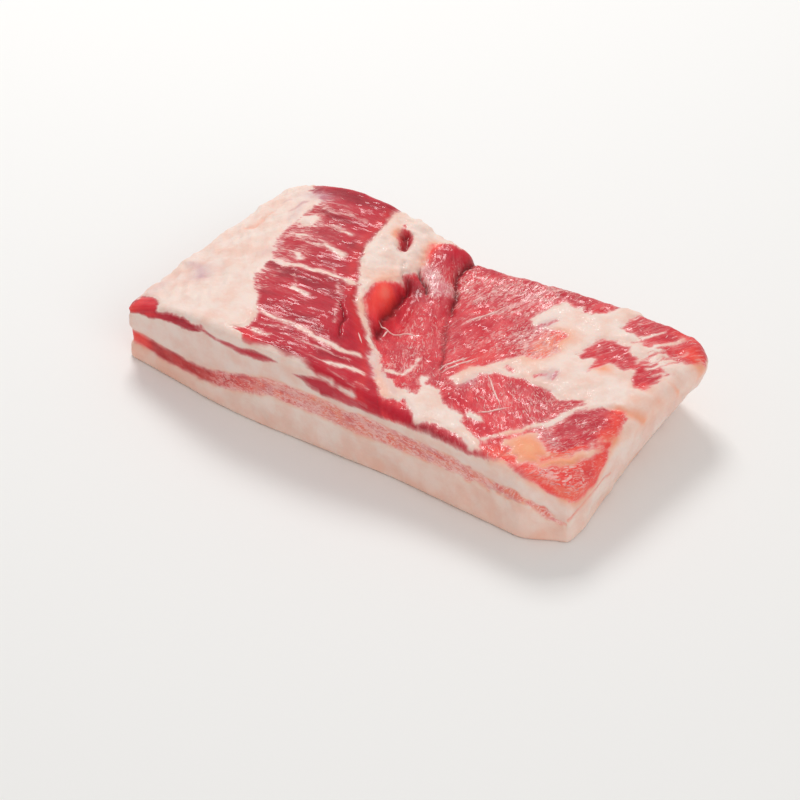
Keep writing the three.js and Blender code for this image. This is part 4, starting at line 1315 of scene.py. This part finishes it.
@dataclass
class BellySlab:
    """The whole slab as one closed mesh with its layers, muscles and fat."""

    form: SlabForm
    layers: Layers
    columns: int = 312
    rows: int = 176
    rim_steps: int = 6
    relax_rounds: int = 160
    wall_steps: int = 26
    foot_steps: int = 3
    foot_share: int = 8
    underside_scale: float = 0.95
    underside_spread: float = 10.0
    no_fat: float = -12.0
    fat_range: float = 8.0
    plan_wander: float = 0.9
    height_wander: float = 0.7
    side_raggedness: float = 0.45
    corner_crispness: float = 1.4
    grain_gap: float = 9.0
    relief: Relief = Relief()
    warp_noise: Noise = Noise(11)
    lump_noise: Noise = Noise(23)
    fibre_noise: Noise = Noise(37)

    def build(self) -> bpy.types.Object:
        """Make the mesh with its relief and its surface fields.

        Returns:
            The slab's object.
        """
        skin = self.skin()
        fields = self.fields(skin)
        points = self.relieved(skin, fields)
        mesh = bpy.data.meshes.new("belly_slab")
        mesh.from_pydata((points * MM).tolist(), [], skin.faces)
        mesh.validate()
        fields.store(mesh)
        mesh.shade_smooth()
        slab = bpy.data.objects.new("belly_slab", mesh)
        bpy.context.scene.collection.objects.link(slab)
        return slab

    def dress(self, slab: bpy.types.Object) -> None:
        """Give the slab its finish."""
        slab.data.materials.append(MeatFinish().material())

    def skin(self) -> Skin:
        """The slab's smooth skin: top face, rounded rim, sides, foot and flat underside."""
        ring, normal = self.form.outline((self.columns, self.rows))
        radius = self.form.rim_radius(ring, normal)
        inset = ring - normal * radius[:, None]
        grid = self.relaxed(self.grid_from_ring(inset, self.columns, self.rows))
        top = self.form.top_height(grid[:, 0], grid[:, 1])
        skin = Skin(np.column_stack([grid, top]), grid, np.ones(len(grid)), np.zeros((len(grid), 2)))
        skin.faces.extend(self.grid_faces(self.columns, self.rows))
        upper = self.border_order(self.columns, self.rows)
        rim_height = self.form.top_height(inset[:, 0], inset[:, 1])
        fall = self.form.outward_fall(inset, normal)

        def add_ring(inward: Array | float, z: Array, arc: Array, share: Array | float) -> None:
            """Add the next ring of points down the sides."""
            nonlocal upper
            plan = ring - normal * np.broadcast_to(inward, len(ring))[:, None]
            plan[:, 0] -= self.form.tuck(ring, z)
            unrolled = inset + normal * arc[:, None]
            share = np.broadcast_to(share, len(ring))
            lower = skin.add(np.column_stack([plan, z]), unrolled, share, normal)
            corners = (upper, lower, np.roll(lower, -1), np.roll(upper, -1))
            skin.faces.extend(zip(*[c.tolist() for c in corners]))
            upper = lower

        for step in range(1, self.rim_steps + 1):
            angle = step / self.rim_steps * math.pi / 2
            z = rim_height + fall * radius * math.sin(angle) - radius * (1 - math.cos(angle))
            add_ring(radius * (1 - math.sin(angle)), z, radius * angle, 1 - 0.5 * step / self.rim_steps)
        foot = self.form.foot_radius
        wall_top = rim_height + (fall - 1) * radius
        for step in range(1, self.wall_steps + 1):
            z = blend(wall_top, foot, step / self.wall_steps)
            arc = radius * math.pi / 2 + wall_top - z
            add_ring(0.0, z, arc, 0.5 * (1 - ease(0.0, 5.0, wall_top - z)))
        for step in range(1, self.foot_steps + 1):
            angle = step / self.foot_steps * math.pi / 2
            z = np.full(len(ring), foot * (1 - math.sin(angle)))
            add_ring(foot * (1 - math.cos(angle)), z, radius * math.pi / 2 + wall_top - z, 0.0)
        self.add_underside(skin, upper)
        return skin

    def relaxed(self, grid: Array) -> Array:
        """Even out the plan grid of the top face, so that no cell is squeezed at its corners.

        Args:
            grid: Plan points, row by row, with the border in its place.

        Returns:
            The points with the same border.
        """
        net = grid.reshape(self.rows + 1, self.columns + 1, 2).copy()
        for _ in range(self.relax_rounds):
            along = net[1:-1, :-2] + net[1:-1, 2:]
            net[1:-1, 1:-1] = (along + net[:-2, 1:-1] + net[2:, 1:-1]) / 4
        return net.reshape(-1, 2)

    def add_underside(self, skin: Skin, upper: Array) -> None:
        """Close the flat underside with a coarser grid.

        Args:
            skin: The skin so far, added to.
            upper: Indices of its last ring.
        """
        share = self.foot_share
        ring = skin.points[upper, :2]
        middle = ring.mean(axis=0)
        coarse = middle + (ring[::share] - middle) * self.underside_scale
        columns, rows = self.columns // share, self.rows // share
        grid = self.grid_from_ring(coarse, columns, rows)
        flat = np.zeros(len(grid))
        # The unrolled plan of the underside is spread out, beyond what is drawn on the top face.
        plan = grid * self.underside_spread
        start = int(skin.add(np.column_stack([grid, flat]), plan, flat, np.zeros((len(grid), 2)))[0])
        inner = self.border_order(columns, rows) + start
        for k in range(len(inner)):
            a, b = int(inner[k]), int(inner[(k + 1) % len(inner)])
            outer = [int(upper[(k * share + i) % len(upper)]) for i in range(share + 1)]
            half = share // 2
            for i in range(half):
                skin.faces.append((outer[i], a, outer[i + 1]))
            skin.faces.append((outer[half], a, b))
            for i in range(half, share):
                skin.faces.append((outer[i], b, outer[i + 1]))
        for face in self.grid_faces(columns, rows):
            skin.faces.append(tuple(start + i for i in reversed(face)))

    @staticmethod
    def border_order(columns: int, rows: int) -> Array:
        """Indices of a grid's border points, counter-clockwise."""
        width = columns + 1
        front = np.arange(columns)
        right = np.arange(rows) * width + columns
        back = rows * width + np.arange(columns, 0, -1)
        left = np.arange(rows, 0, -1) * width
        return np.concatenate([front, right, back, left])

    @staticmethod
    def grid_faces(columns: int, rows: int) -> list[tuple[int, ...]]:
        """Four-sided faces of a grid, seen from above."""
        start = (np.arange(rows)[:, None] * (columns + 1) + np.arange(columns)[None, :]).ravel()
        corners = (start, start + 1, start + columns + 2, start + columns + 1)
        return list(zip(*[c.tolist() for c in corners]))

    @staticmethod
    def grid_from_ring(ring: Array, columns: int, rows: int) -> Array:
        """A plan grid blended from the points of a ring, row by row from the front.

        Args:
            ring: Plan points, counter-clockwise from the front left.
            columns: Steps along the long sides.
            rows: Steps along the ends.

        Returns:
            Plan points, one to a row.
        """
        closed = np.vstack([ring, ring[:1]])
        front = closed[: columns + 1][None, :, :]
        right = closed[columns : columns + rows + 1][:, None, :]
        back = closed[columns + rows : 2 * columns + rows + 1][::-1][None, :, :]
        left = closed[2 * columns + rows :][::-1][:, None, :]
        u = (np.arange(columns + 1) / columns)[None, :, None]
        v = (np.arange(rows + 1) / rows)[:, None, None]
        low = (1 - u) * front[:, :1] + u * front[:, -1:]
        high = (1 - u) * back[:, :1] + u * back[:, -1:]
        grid = (1 - v) * front + v * back + (1 - u) * left + u * right - (1 - v) * low - v * high
        return grid.reshape(-1, 2)

    def fields(self, skin: Skin) -> SurfaceFields:
        """Work out what the surface is made of at every point.

        Args:
            skin: The smooth skin.

        Returns:
            The fields.
        """
        x, y, z = skin.points.T
        u, v = self.wandered(skin)
        wz = z + self.height_wander * self.warp_noise.layers(x / 8, y / 8 + 70, z / 4)
        streak = self.layers.streak(x, y, wz)
        streak = streak - ease(55, 80, x) * (1.0 + 1.8 * self.warp_noise.layers(x / 6 + 5, z / 3))
        floor = self.layers.lean_floor(x, y, self.form.top_height(x, y))
        corner = CORNER_RED.depth(u, v)
        fat = self.fat_depth(skin, u, v, wz, streak, floor)
        fat = np.minimum(fat, -corner * self.corner_crispness)
        values = {channel: np.zeros(len(x)) for channel in Channel}
        on_top = ease(0.0, 0.5, skin.top_share)
        self.paint_top(values, u, v, corner, on_top)
        end_line = ease(-1.2, 0.2, END_LINE.depth(y, wz)) * skin.right()
        values[Channel.FILM] += 2.2 * end_line
        values[Channel.PEACH] += 0.7 * end_line
        self.paint_sides(skin, values, streak, z)
        # Painted shade in the creases, darkest along their floors.
        for crease in TOP_CREASES:
            groove, _ = crease.strength(u, v)
            dark = crease.dark * groove**1.5 * on_top
            values[Channel.SHADE] = np.maximum(values[Channel.SHADE], dark)
        fringe = bell(fat + 1.5, 3.5) * ease(-58, -66, u) * ease(-48, -40, v) * on_top
        values[Channel.FILM] += 0.5 * fringe
        values[Channel.RAGGED] += 0.7 * fringe
        least = self.side_raggedness
        values[Channel.RAGGED] += np.where(skin.front() & skin.past_top(), least, blend(least, 1.0, on_top))
        values[Channel.RAGGED] += 0.4 * ease(-3.0, 0.0, corner) * on_top
        grain, flow = self.grain(skin, floor)
        return SurfaceFields(np.clip(fat, -self.fat_range, self.fat_range), values, grain, flow)

    def fat_depth(self, skin: Skin, u: Array, v: Array, wz: Array, streak: Array, floor: Array) -> Array:
        """How deep each point lies inside fat, negative inside lean.

        Args:
            skin: The smooth skin.
            u: First coordinate of the unrolled plan.
            v: Second coordinate of the unrolled plan.
            wz: Heights with a little wandering.
            streak: Distance inside the main lean streak.
            floor: Height of the underside of the top muscle.

        Returns:
            Signed distances.
        """
        x, y, _ = skin.points.T
        front, right = skin.front(), skin.right()
        beyond = skin.past_top() & ~front & ~right
        fat = np.full(len(x), self.no_fat)
        for patch in TOP_PATCHES:
            depth = patch.depth(u, v)
            fat = np.maximum(fat, depth) if patch.paint is FAT else np.minimum(fat, -depth)
        fat = np.where(front, np.maximum(fat, np.interp(x, *zip(*FRONT_LEAN_EDGE)) - wz), fat)
        fat = np.where(beyond, np.maximum(fat, floor - wz), fat)
        fat = np.where(right, np.minimum(fat, -END_LINE.depth(y, wz)), np.minimum(fat, -streak))
        fat = np.where(beyond, np.minimum(fat, -self.layers.upper_streak(x, y, wz)), fat)
        for patch in FRONT_PATCHES:
            fat = np.where(front, np.minimum(fat, -patch.depth(x, wz)), fat)
        return fat

    @staticmethod
    def paint_top(values: dict[Channel, Array], u: Array, v: Array, corner: Array, on_top: Array) -> None:
        """Colour the muscles of the top face.

        Args:
            values: The colour channels, changed in place.
            u: First coordinate of the unrolled plan.
            v: Second coordinate of the unrolled plan.
            corner: Distance inside the red front left corner.
            on_top: 1 on the top face and 0 on the sides.
        """
        middle = ease(-1.5, 1.5, u - curve(HUMP_END, v))
        far = ease(-1.5, 1.5, u - curve(MIDDLE_END, v))
        values[Channel.TONE] += blend(-0.16, 0.55, middle) * on_top
        values[Channel.FILM] += (0.02 + 0.36 * middle + 0.08 * far) * on_top
        for tint in TOP_TINTS:
            values[tint.channel] += tint.at(u, v)
        membrane = ease(-3.0, 2.2, PALE_MEMBRANE.depth(u, v))
        values[Channel.FILM] += 1.1 * membrane
        values[Channel.LILAC] += 0.35 * membrane
        red = ease(-0.5, 1.5, corner)
        values[Channel.PEACH] += red * (0.15 + 0.5 * ease(-106, -118, u)) * ease(-92, -104, u)
        values[Channel.TONE] += red * blend(-0.5, 0.9, ease(-94, -104, u))

    def paint_sides(self, skin: Skin, values: dict[Channel, Array], streak: Array, z: Array) -> None:
        """Colour the layers at the cut sides.

        Args:
            skin: The smooth skin.
            values: The colour channels, changed in place.
            streak: Distance inside the main lean streak.
            z: Heights.
        """
        x, y = skin.points[:, 0], skin.points[:, 1]
        side = 1 - ease(0.0, 0.6, skin.top_share)
        right = skin.right()
        inside = ease(-1.6, 0.6, streak) * side * ~right
        end = ease(-101, -110, x) * ease(-44, -56, y)
        pale = ease(-88, -12, x)
        mottle = self.warp_noise.layers(x / 4, y / 4 + 20, z / 1.8)
        values[Channel.TONE] += inside * blend(blend(-1.0, -0.3, end), 0.4, pale)
        values[Channel.FILM] += inside * blend(blend(0.3, 0.0, end), 2.3, pale)
        values[Channel.PEACH] += inside * blend(blend(0.4, 0.75, end), 0.6 + 0.5 * mottle, pale)
        values[Channel.RAGGED] += 0.5 * inside * pale
        # Warmer, darker fat below the streak: partly the fat's own warm colour, partly painted shade near
        # the floor and towards the right of the front side.
        foot = 1 - ease(2.0, 10.0, z)
        warmth_and_shade = blend(0.12 + 0.18 * foot, 0.16 * foot, ease(-75, -50, x))
        warmth_and_shade = warmth_and_shade + 0.12 * ease(0, 60, x) * ~right
        values[Channel.PEACH] += warmth_and_shade * side * (z < curve(self.layers.base_top, x))
        values[Channel.LILAC] += 0.1 * side * (z > curve(self.layers.streak_top, x))

    def wandered(self, skin: Skin) -> tuple[Array, Array]:
        """The unrolled plan with a little wandering, so that edges are not drawn straight."""
        u, v = skin.plan.T
        noise, far = self.warp_noise, self.plan_wander
        return u + far * noise.layers(u / 6, v / 6), v + far * noise.layers(u / 6 + 40, v / 6)

    def grain(self, skin: Skin, floor: Array) -> tuple[Array, Array]:
        """Coordinates that follow the muscle fibres, short along them.

        Args:
            skin: The smooth skin.
            floor: Height of the underside of the top muscle.

        Returns:
            The coordinates and the way the fibres run, one vector each for each point.
        """
        x, y, z = skin.points.T
        u, v = skin.plan.T
        angle = np.full(len(u), GRAIN_RIGHT)
        angle = np.where(u < curve(MIDDLE_END, v), GRAIN_MIDDLE, angle)
        angle = np.where((u > 44) & (v < -6), GRAIN_FRONT, angle)
        angle = np.where((u > 86) & (v < -3), GRAIN_CORNER, angle)
        island = (u > 70) & (v > 9)
        angle = np.where(island, GRAIN_ISLAND, angle)
        angle = np.where(u < curve(HUMP_END, v), GRAIN_HUMP, angle)
        along = u * np.cos(angle) + v * np.sin(angle)
        across = v * np.cos(angle) - u * np.sin(angle)
        stretch = np.where(island | (u < curve(HUMP_END, v)), GRAIN_STRETCH, GRAIN_STRETCH_FAR)
        on_top = np.column_stack([along * stretch, across, angle * self.grain_gap])
        on_side = np.column_stack([x * GRAIN_STRETCH_SIDE, y * GRAIN_STRETCH_SIDE, z])
        over_corner = (u > 80) & (u < 134) & (v < -14) & (v > -74)
        use_top = (skin.top_share > 0.4) | (z > floor - 1) | over_corner
        flow_top = np.column_stack([np.cos(angle), np.sin(angle), np.zeros(len(u))])
        flow_side = np.column_stack([-skin.outward[:, 1], skin.outward[:, 0], np.zeros(len(u))])
        flow = np.where(use_top[:, None], flow_top, flow_side)
        return np.where(use_top[:, None], on_top, on_side), flow

    def relieved(self, skin: Skin, fields: SurfaceFields) -> Array:
        """The skin with its creases, swollen fat, fibres and cut sides.

        Args:
            skin: The smooth skin.
            fields: What the surface is made of.

        Returns:
            The moved points.
        """
        x, y, z = skin.points.T
        u, v = self.wandered(skin)
        normals = self.point_normals(skin.points, skin.faces)
        fat = ease(0.0, 2.5, fields.fat)
        lumps = self.lump_noise.layers(x / 16, y / 16, z / 16, 3)
        small = self.lump_noise.layers(x / 4.5, y / 4.5, z / 4.5, 3)
        g = fields.grain
        fibres = self.fibre_noise.layers(g[:, 0] * 1.2, g[:, 1] / 1.6, g[:, 2] / 1.6, 3)
        top = ease(0.2, 0.7, skin.top_share)
        high = self.relief
        out = high.fat * fat * top + high.lumps * lumps + high.small_lumps * small
        out = out + high.fibres * fibres * (1 - fat)
        sunk = blend(high.sunk_lean, high.sunk_lean_left, ease(-85, -105, x))
        out -= sunk * (1 - fat) * (1 - top) * (z < 26)
        foot = self.lump_noise.layers(x / 14, y / 14 + 30)
        out += high.foot_lumps * foot * (1 - ease(6, 13, z)) * (1 - top)
        folds = self.warp_noise.layers((x + y * 0.6) / 7, (y - x * 0.3) / 16 + 5, 0.0, 3)
        cover = ease(-66, -84, u) * ease(0.5, 4.0, fields.fat) * top
        out += high.cover_folds * (0.5 - np.abs(folds)) * cover
        knobs = self.lump_noise.layers(x / 9 + 3, y / 9, z / 9, 3)
        out += high.right_knobs * knobs * ease(62, 90, u) * ease(-30, -10, v)
        out += high.left_knobs * knobs * ease(-102, -114, u) * ease(-50, -36, v)
        back = self.lump_noise.layers(x / 5, y / 5 + 8, z / 5, 2)
        out += high.back_lumps * back * ease(46, 56, v) * ease(-60, -40, x)
        crags = self.lump_noise.layers(x / 5 + 9, y / 5)
        for patch in TOP_PATCHES:
            if isinstance(patch, Patch) and patch.crags:
                out += patch.crags * ease(0.0, 2.0, patch.depth(u, v)) * crags
        moved = skin.points + normals * (out * ease(0.3, 4.0, z))[:, None]

        for crease in TOP_CREASES:
            groove, lip = crease.strength(u, v)
            moved[:, 2] -= crease.depth * groove * top
            start, end = np.array(crease.path[0]), np.array(crease.path[-1])
            along = (end - start) / np.linalg.norm(end - start)
            over = np.array([-along[1], along[0]])
            moved[:, :2] += over[None, :] * (crease.overhang * lip * top)[:, None]
        moved[:, 2] = np.maximum(moved[:, 2], 0.0)
        return moved

    @staticmethod
    def point_normals(points: Array, faces: list[tuple[int, ...]]) -> Array:
        """Average normals of a mesh's points."""
        normals = np.zeros_like(points)
        for size in (3, 4):
            group = np.array([f for f in faces if len(f) == size])
            if not len(group):
                continue
            a, b, c = points[group[:, 0]], points[group[:, 1]], points[group[:, 2]]
            d = points[group[:, size - 1]]
            cross = np.cross(c - a, d - b) if size == 4 else np.cross(b - a, c - a)
            for corner in range(size):
                np.add.at(normals, group[:, corner], cross)
        return normals / np.maximum(np.linalg.norm(normals, axis=1, keepdims=True), 1e-9)


@dataclass
class SinewThreads:
    """Thin threads of sinew that lie along paths on the top face."""

    slab: bpy.types.Object
    radius: float = 0.42
    step: float = 0.6
    wander: float = 1.6
    sway_scale: float = 160.0
    ring_sides: int = 6
    thin_end: float = 0.15
    drop_from: float = 70.0
    drop_length: float = 200.0
    paths: tuple[Points, ...] = (
        (
            (-12.5, -10.6), (-10.4, -10.1), (-7.9, -10.1), (-5.9, -9.5), (-1.3, -9.1), (3.2, -7.6),
            (7.8, -6.4),
        ),
        ((-7.9, -10.1), (-7.3, -12.6), (-6.8, -15.7)),
        ((17.4, 15.2), (19.9, 21.6), (23.5, 28.9), (24.4, 35.4)),
        ((48.2, -12), (56, -19), (66.3, -27.8)),
        ((60.6, -37.6), (65.1, -32.5), (69.9, -26)),
        ((30.8, -23.8), (33, -15.5), (35.8, -8.9), (37.6, -4.5)),
        ((28.5, -22), (31, -14), (34.5, -6)),
        ((-11, -27.3), (-6, -31.5)),
    )

    def build(self) -> bpy.types.Object:
        """Drape the threads over the slab.

        Returns:
            The threads' object.
        """
        carrier = self.path_carrier()
        threads = self.tree().grow(carrier, "sinew_threads")
        bpy.data.objects.remove(carrier)
        return threads

    def path_carrier(self) -> bpy.types.Object:
        """The paths as loose edges above the slab."""
        points: list[Triple] = []
        edges: list[tuple[int, int]] = []
        for path in self.paths:
            first = len(points)
            points.extend((x * MM, y * MM, self.drop_from * MM) for x, y in path)
            edges.extend((i, i + 1) for i in range(first, len(points) - 1))
        mesh = bpy.data.meshes.new("sinew_paths")
        mesh.from_pydata(points, edges, [])
        carrier = bpy.data.objects.new("sinew_paths", mesh)
        bpy.context.scene.collection.objects.link(carrier)
        return carrier

    def tree(self) -> GeometryTree:
        """The tree that wanders, drapes and thickens the paths."""
        tree = GeometryTree("sinew_threads", {
            "Slab": ("NodeSocketObject", self.slab),
            "Radius": ("NodeSocketFloat", self.radius * MM),
            "Step": ("NodeSocketFloat", self.step * MM),
            "Wander": ("NodeSocketFloat", self.wander * MM),
        })
        slab = tree.make("GeometryNodeObjectInfo", {"transform_space": "ORIGINAL"}, {
            "Object": tree.input("Slab"),
        }, "Geometry")
        curve = tree.make("GeometryNodeMeshToCurve", {}, {"Mesh": tree.input("Geometry")})
        curve = tree.make("GeometryNodeResampleCurve", {"mode": "LENGTH"}, {
            "Curve": curve,
            "Length": tree.input("Step"),
        })
        place = tree.make("GeometryNodeInputPosition", {}, {})
        sway = tree.make("ShaderNodeTexNoise", {}, {
            "Vector": place,
            "Scale": self.sway_scale,
            "Detail": 2.0,
        }, "Color")
        sway = tree.vector_maths("SUBTRACT", sway, (0.5, 0.5, 0.5))
        sway = tree.make("ShaderNodeVectorMath", {"operation": "SCALE"}, {
            0: sway,
            "Scale": tree.input("Wander"),
        })
        curve = tree.make("GeometryNodeSetPosition", {}, {"Geometry": curve, "Offset": sway})
        landing = tree.make("GeometryNodeRaycast", {}, {
            "Target Geometry": slab,
            "Source Position": place,
            "Ray Direction": (0.0, 0.0, -1.0),
            "Ray Length": self.drop_length * MM,
        }, "Hit Position")
        curve = tree.make("GeometryNodeSetPosition", {}, {"Geometry": curve, "Position": landing})
        share = tree.make("GeometryNodeSplineParameter", {}, {}, "Factor")
        taper = share.step(0.0, 0.2) * (1 - share.step(0.7, 1.0)) * (1 - self.thin_end) + self.thin_end
        ring = tree.make("GeometryNodeCurvePrimitiveCircle", {"mode": "RADIUS"}, {
            "Resolution": self.ring_sides,
            "Radius": tree.input("Radius"),
        })
        threads = tree.make("GeometryNodeCurveToMesh", {}, {
            "Curve": curve,
            "Profile Curve": ring,
            "Scale": taper,
            "Fill Caps": True,
        })
        tree.finish(threads, SinewFinish().material())
        return tree


@dataclass
class MarblingFlakes:
    """Slim flakes of sinew that lie along the fibres wherever film covers the lean."""

    slab: bpy.types.Object
    density: float = 420000.0
    length: float = 1.5
    width: float = 0.2
    thickness: float = 0.16
    spin: float = 0.7
    lengths: tuple[float, float] = (0.4, 1.4)
    widths: tuple[float, float] = (0.6, 1.5)
    crowd_scale: float = 90.0
    seed: int = 5
    finish: SinewFinish = SinewFinish("flake", srgb(244, 184, 178), srgb(230, 140, 140))

    def build(self) -> bpy.types.Object:
        """Scatter the flakes over the slab."""
        return self.tree().grow(self.slab, "marbling_flakes")

    def tree(self) -> GeometryTree:
        """The tree that scatters, turns and sizes the flakes."""
        tree = GeometryTree("marbling_flakes", {
            "Density": ("NodeSocketFloat", self.density),
            "Length": ("NodeSocketFloat", self.length * MM),
            "Width": ("NodeSocketFloat", self.width * MM),
            "Thickness": ("NodeSocketFloat", self.thickness * MM),
            "Seed": ("NodeSocketInt", self.seed),
        })
        place = tree.make("GeometryNodeInputPosition", {}, {})
        cover = tree.named("film").clipped()
        bare = tree.named("fat").step(-0.6, -1.6)
        crowd = tree.noise(place, self.crowd_scale, 2.0).step(0.4, 0.65)
        facing = tree.make("GeometryNodeInputNormal", {}, {})
        upward = tree.make("ShaderNodeSeparateXYZ", {}, {"Vector": facing}, "Z").step(0.2, 0.6)
        points = tree.make("GeometryNodeDistributePointsOnFaces", {}, {
            "Mesh": tree.input("Geometry"),
            "Density": cover * cover * bare * crowd * upward * tree.input("Density"),
            "Seed": tree.input("Seed"),
        }, "Points")
        turned = tree.make("FunctionNodeAxesToRotation", {"primary_axis": "Z", "secondary_axis": "X"}, {
            "Primary Axis": points.beside("Normal"),
            "Secondary Axis": tree.named("flow", "FLOAT_VECTOR"),
        })
        spin = tree.make("ShaderNodeCombineXYZ", {}, {"Z": tree.random(-self.spin, self.spin, 2)})
        turned = tree.make("FunctionNodeRotateRotation", {"rotation_space": "LOCAL"}, {
            "Rotation": turned,
            "Rotate By": spin,
        })
        size = tree.make("ShaderNodeCombineXYZ", {}, {
            "X": tree.input("Length") * tree.random(*self.lengths, 3),
            "Y": tree.input("Width") * tree.random(*self.widths, 4),
            "Z": tree.input("Thickness"),
        })
        flake = tree.make("GeometryNodeMeshIcoSphere", {}, {"Radius": 1.0, "Subdivisions": 1})
        flakes = tree.make("GeometryNodeInstanceOnPoints", {}, {
            "Points": points,
            "Instance": flake,
            "Rotation": turned,
            "Scale": size,
        })
        tree.finish(flakes, self.finish.material())
        return tree


@dataclass(frozen=True)
class Lamp:
    """A soft square light that looks at the slab, in metres and watts."""

    name: str
    place: Triple
    size: float
    power: float

    def build(self) -> None:
        """Add the light."""
        data = bpy.data.lights.new(self.name, "AREA")
        data.size = self.size
        data.energy = self.power
        light = bpy.data.objects.new(self.name, data)
        light.location = self.place
        light.rotation_euler = (-Vector(self.place)).to_track_quat("-Z", "Y").to_euler()
        bpy.context.scene.collection.objects.link(light)


@dataclass(frozen=True)
class Studio:
    """Floor, soft light and the camera at the photograph's angle."""

    floor_size: float = 6.0
    lamps: tuple[Lamp, ...] = (
        Lamp("key", (-0.75, 0.7, 1.15), 0.5, 10.5),
        Lamp("fill", (1.5, -0.6, 1.0), 1.4, 7.0),
    )
    sky: Colour = (1.0, 0.99, 0.98, 1.0)
    sky_strength: float = 0.58
    camera_place: Triple = (688.55, -930.66, 897.71)
    camera_azimuth: float = 36.84
    camera_elevation: float = 38.06
    lens: float = 145.56
    sensor: float = 36.0

    def build(self) -> None:
        """Make the floor, the lights and the camera."""
        self.add_floor()
        for lamp in self.lamps:
            lamp.build()
        self.add_world()
        self.add_camera()

    def add_floor(self) -> None:
        """Add the floor."""
        half = self.floor_size / 2
        mesh = bpy.data.meshes.new("floor")
        corners = [(-half, -half, 0), (half, -half, 0), (half, half, 0), (-half, half, 0)]
        mesh.from_pydata(corners, [], [(0, 1, 2, 3)])
        floor = bpy.data.objects.new("floor", mesh)
        bpy.context.scene.collection.objects.link(floor)
        mesh.materials.append(FloorFinish().material())

    def add_world(self) -> None:
        """Add even white light from all around."""
        world = bpy.data.worlds.new("studio")
        world.use_nodes = True
        background = world.node_tree.nodes["Background"]
        background.inputs["Color"].default_value = self.sky
        background.inputs["Strength"].default_value = self.sky_strength
        bpy.context.scene.world = world

    def add_camera(self) -> None:
        """Add the camera."""
        data = bpy.data.cameras.new("camera")
        data.sensor_width = self.sensor
        data.lens = self.lens
        camera = bpy.data.objects.new("camera", data)
        azimuth, elevation = math.radians(self.camera_azimuth), math.radians(self.camera_elevation)
        back = Vector((
            math.sin(azimuth) * math.cos(elevation),
            -math.cos(azimuth) * math.cos(elevation),
            math.sin(elevation),
        ))
        camera.location = Vector(self.camera_place) * MM
        camera.rotation_euler = (-back).to_track_quat("-Z", "Y").to_euler()
        bpy.context.scene.collection.objects.link(camera)
        bpy.context.scene.camera = camera


def report(piece: bpy.types.Object) -> None:
    """Log a finished piece."""
    LOG.info("%s: %d points, %d faces", piece.name, len(piece.data.vertices), len(piece.data.polygons))


def main() -> None:
    """Build the slab and its studio, and attach the pieces to the body."""
    logging.basicConfig(level=logging.INFO, format="%(name)s: %(message)s")
    bpy.context.scene.view_settings.view_transform = "Standard"
    Studio().build()
    slab_maker = BellySlab(SlabForm(), Layers())
    slab = slab_maker.build()
    slab_maker.dress(slab)
    extras = [SinewThreads(slab).build(), MarblingFlakes(slab).build()]
    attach(slab, BODY)
    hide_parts("base_fat", "lean_streak", "fat_seam", "upper_streak", "top_lean")
    report(slab)
    for piece in extras:
        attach(piece, BODY)
        report(piece)


if __name__ == "__main__":
    main()
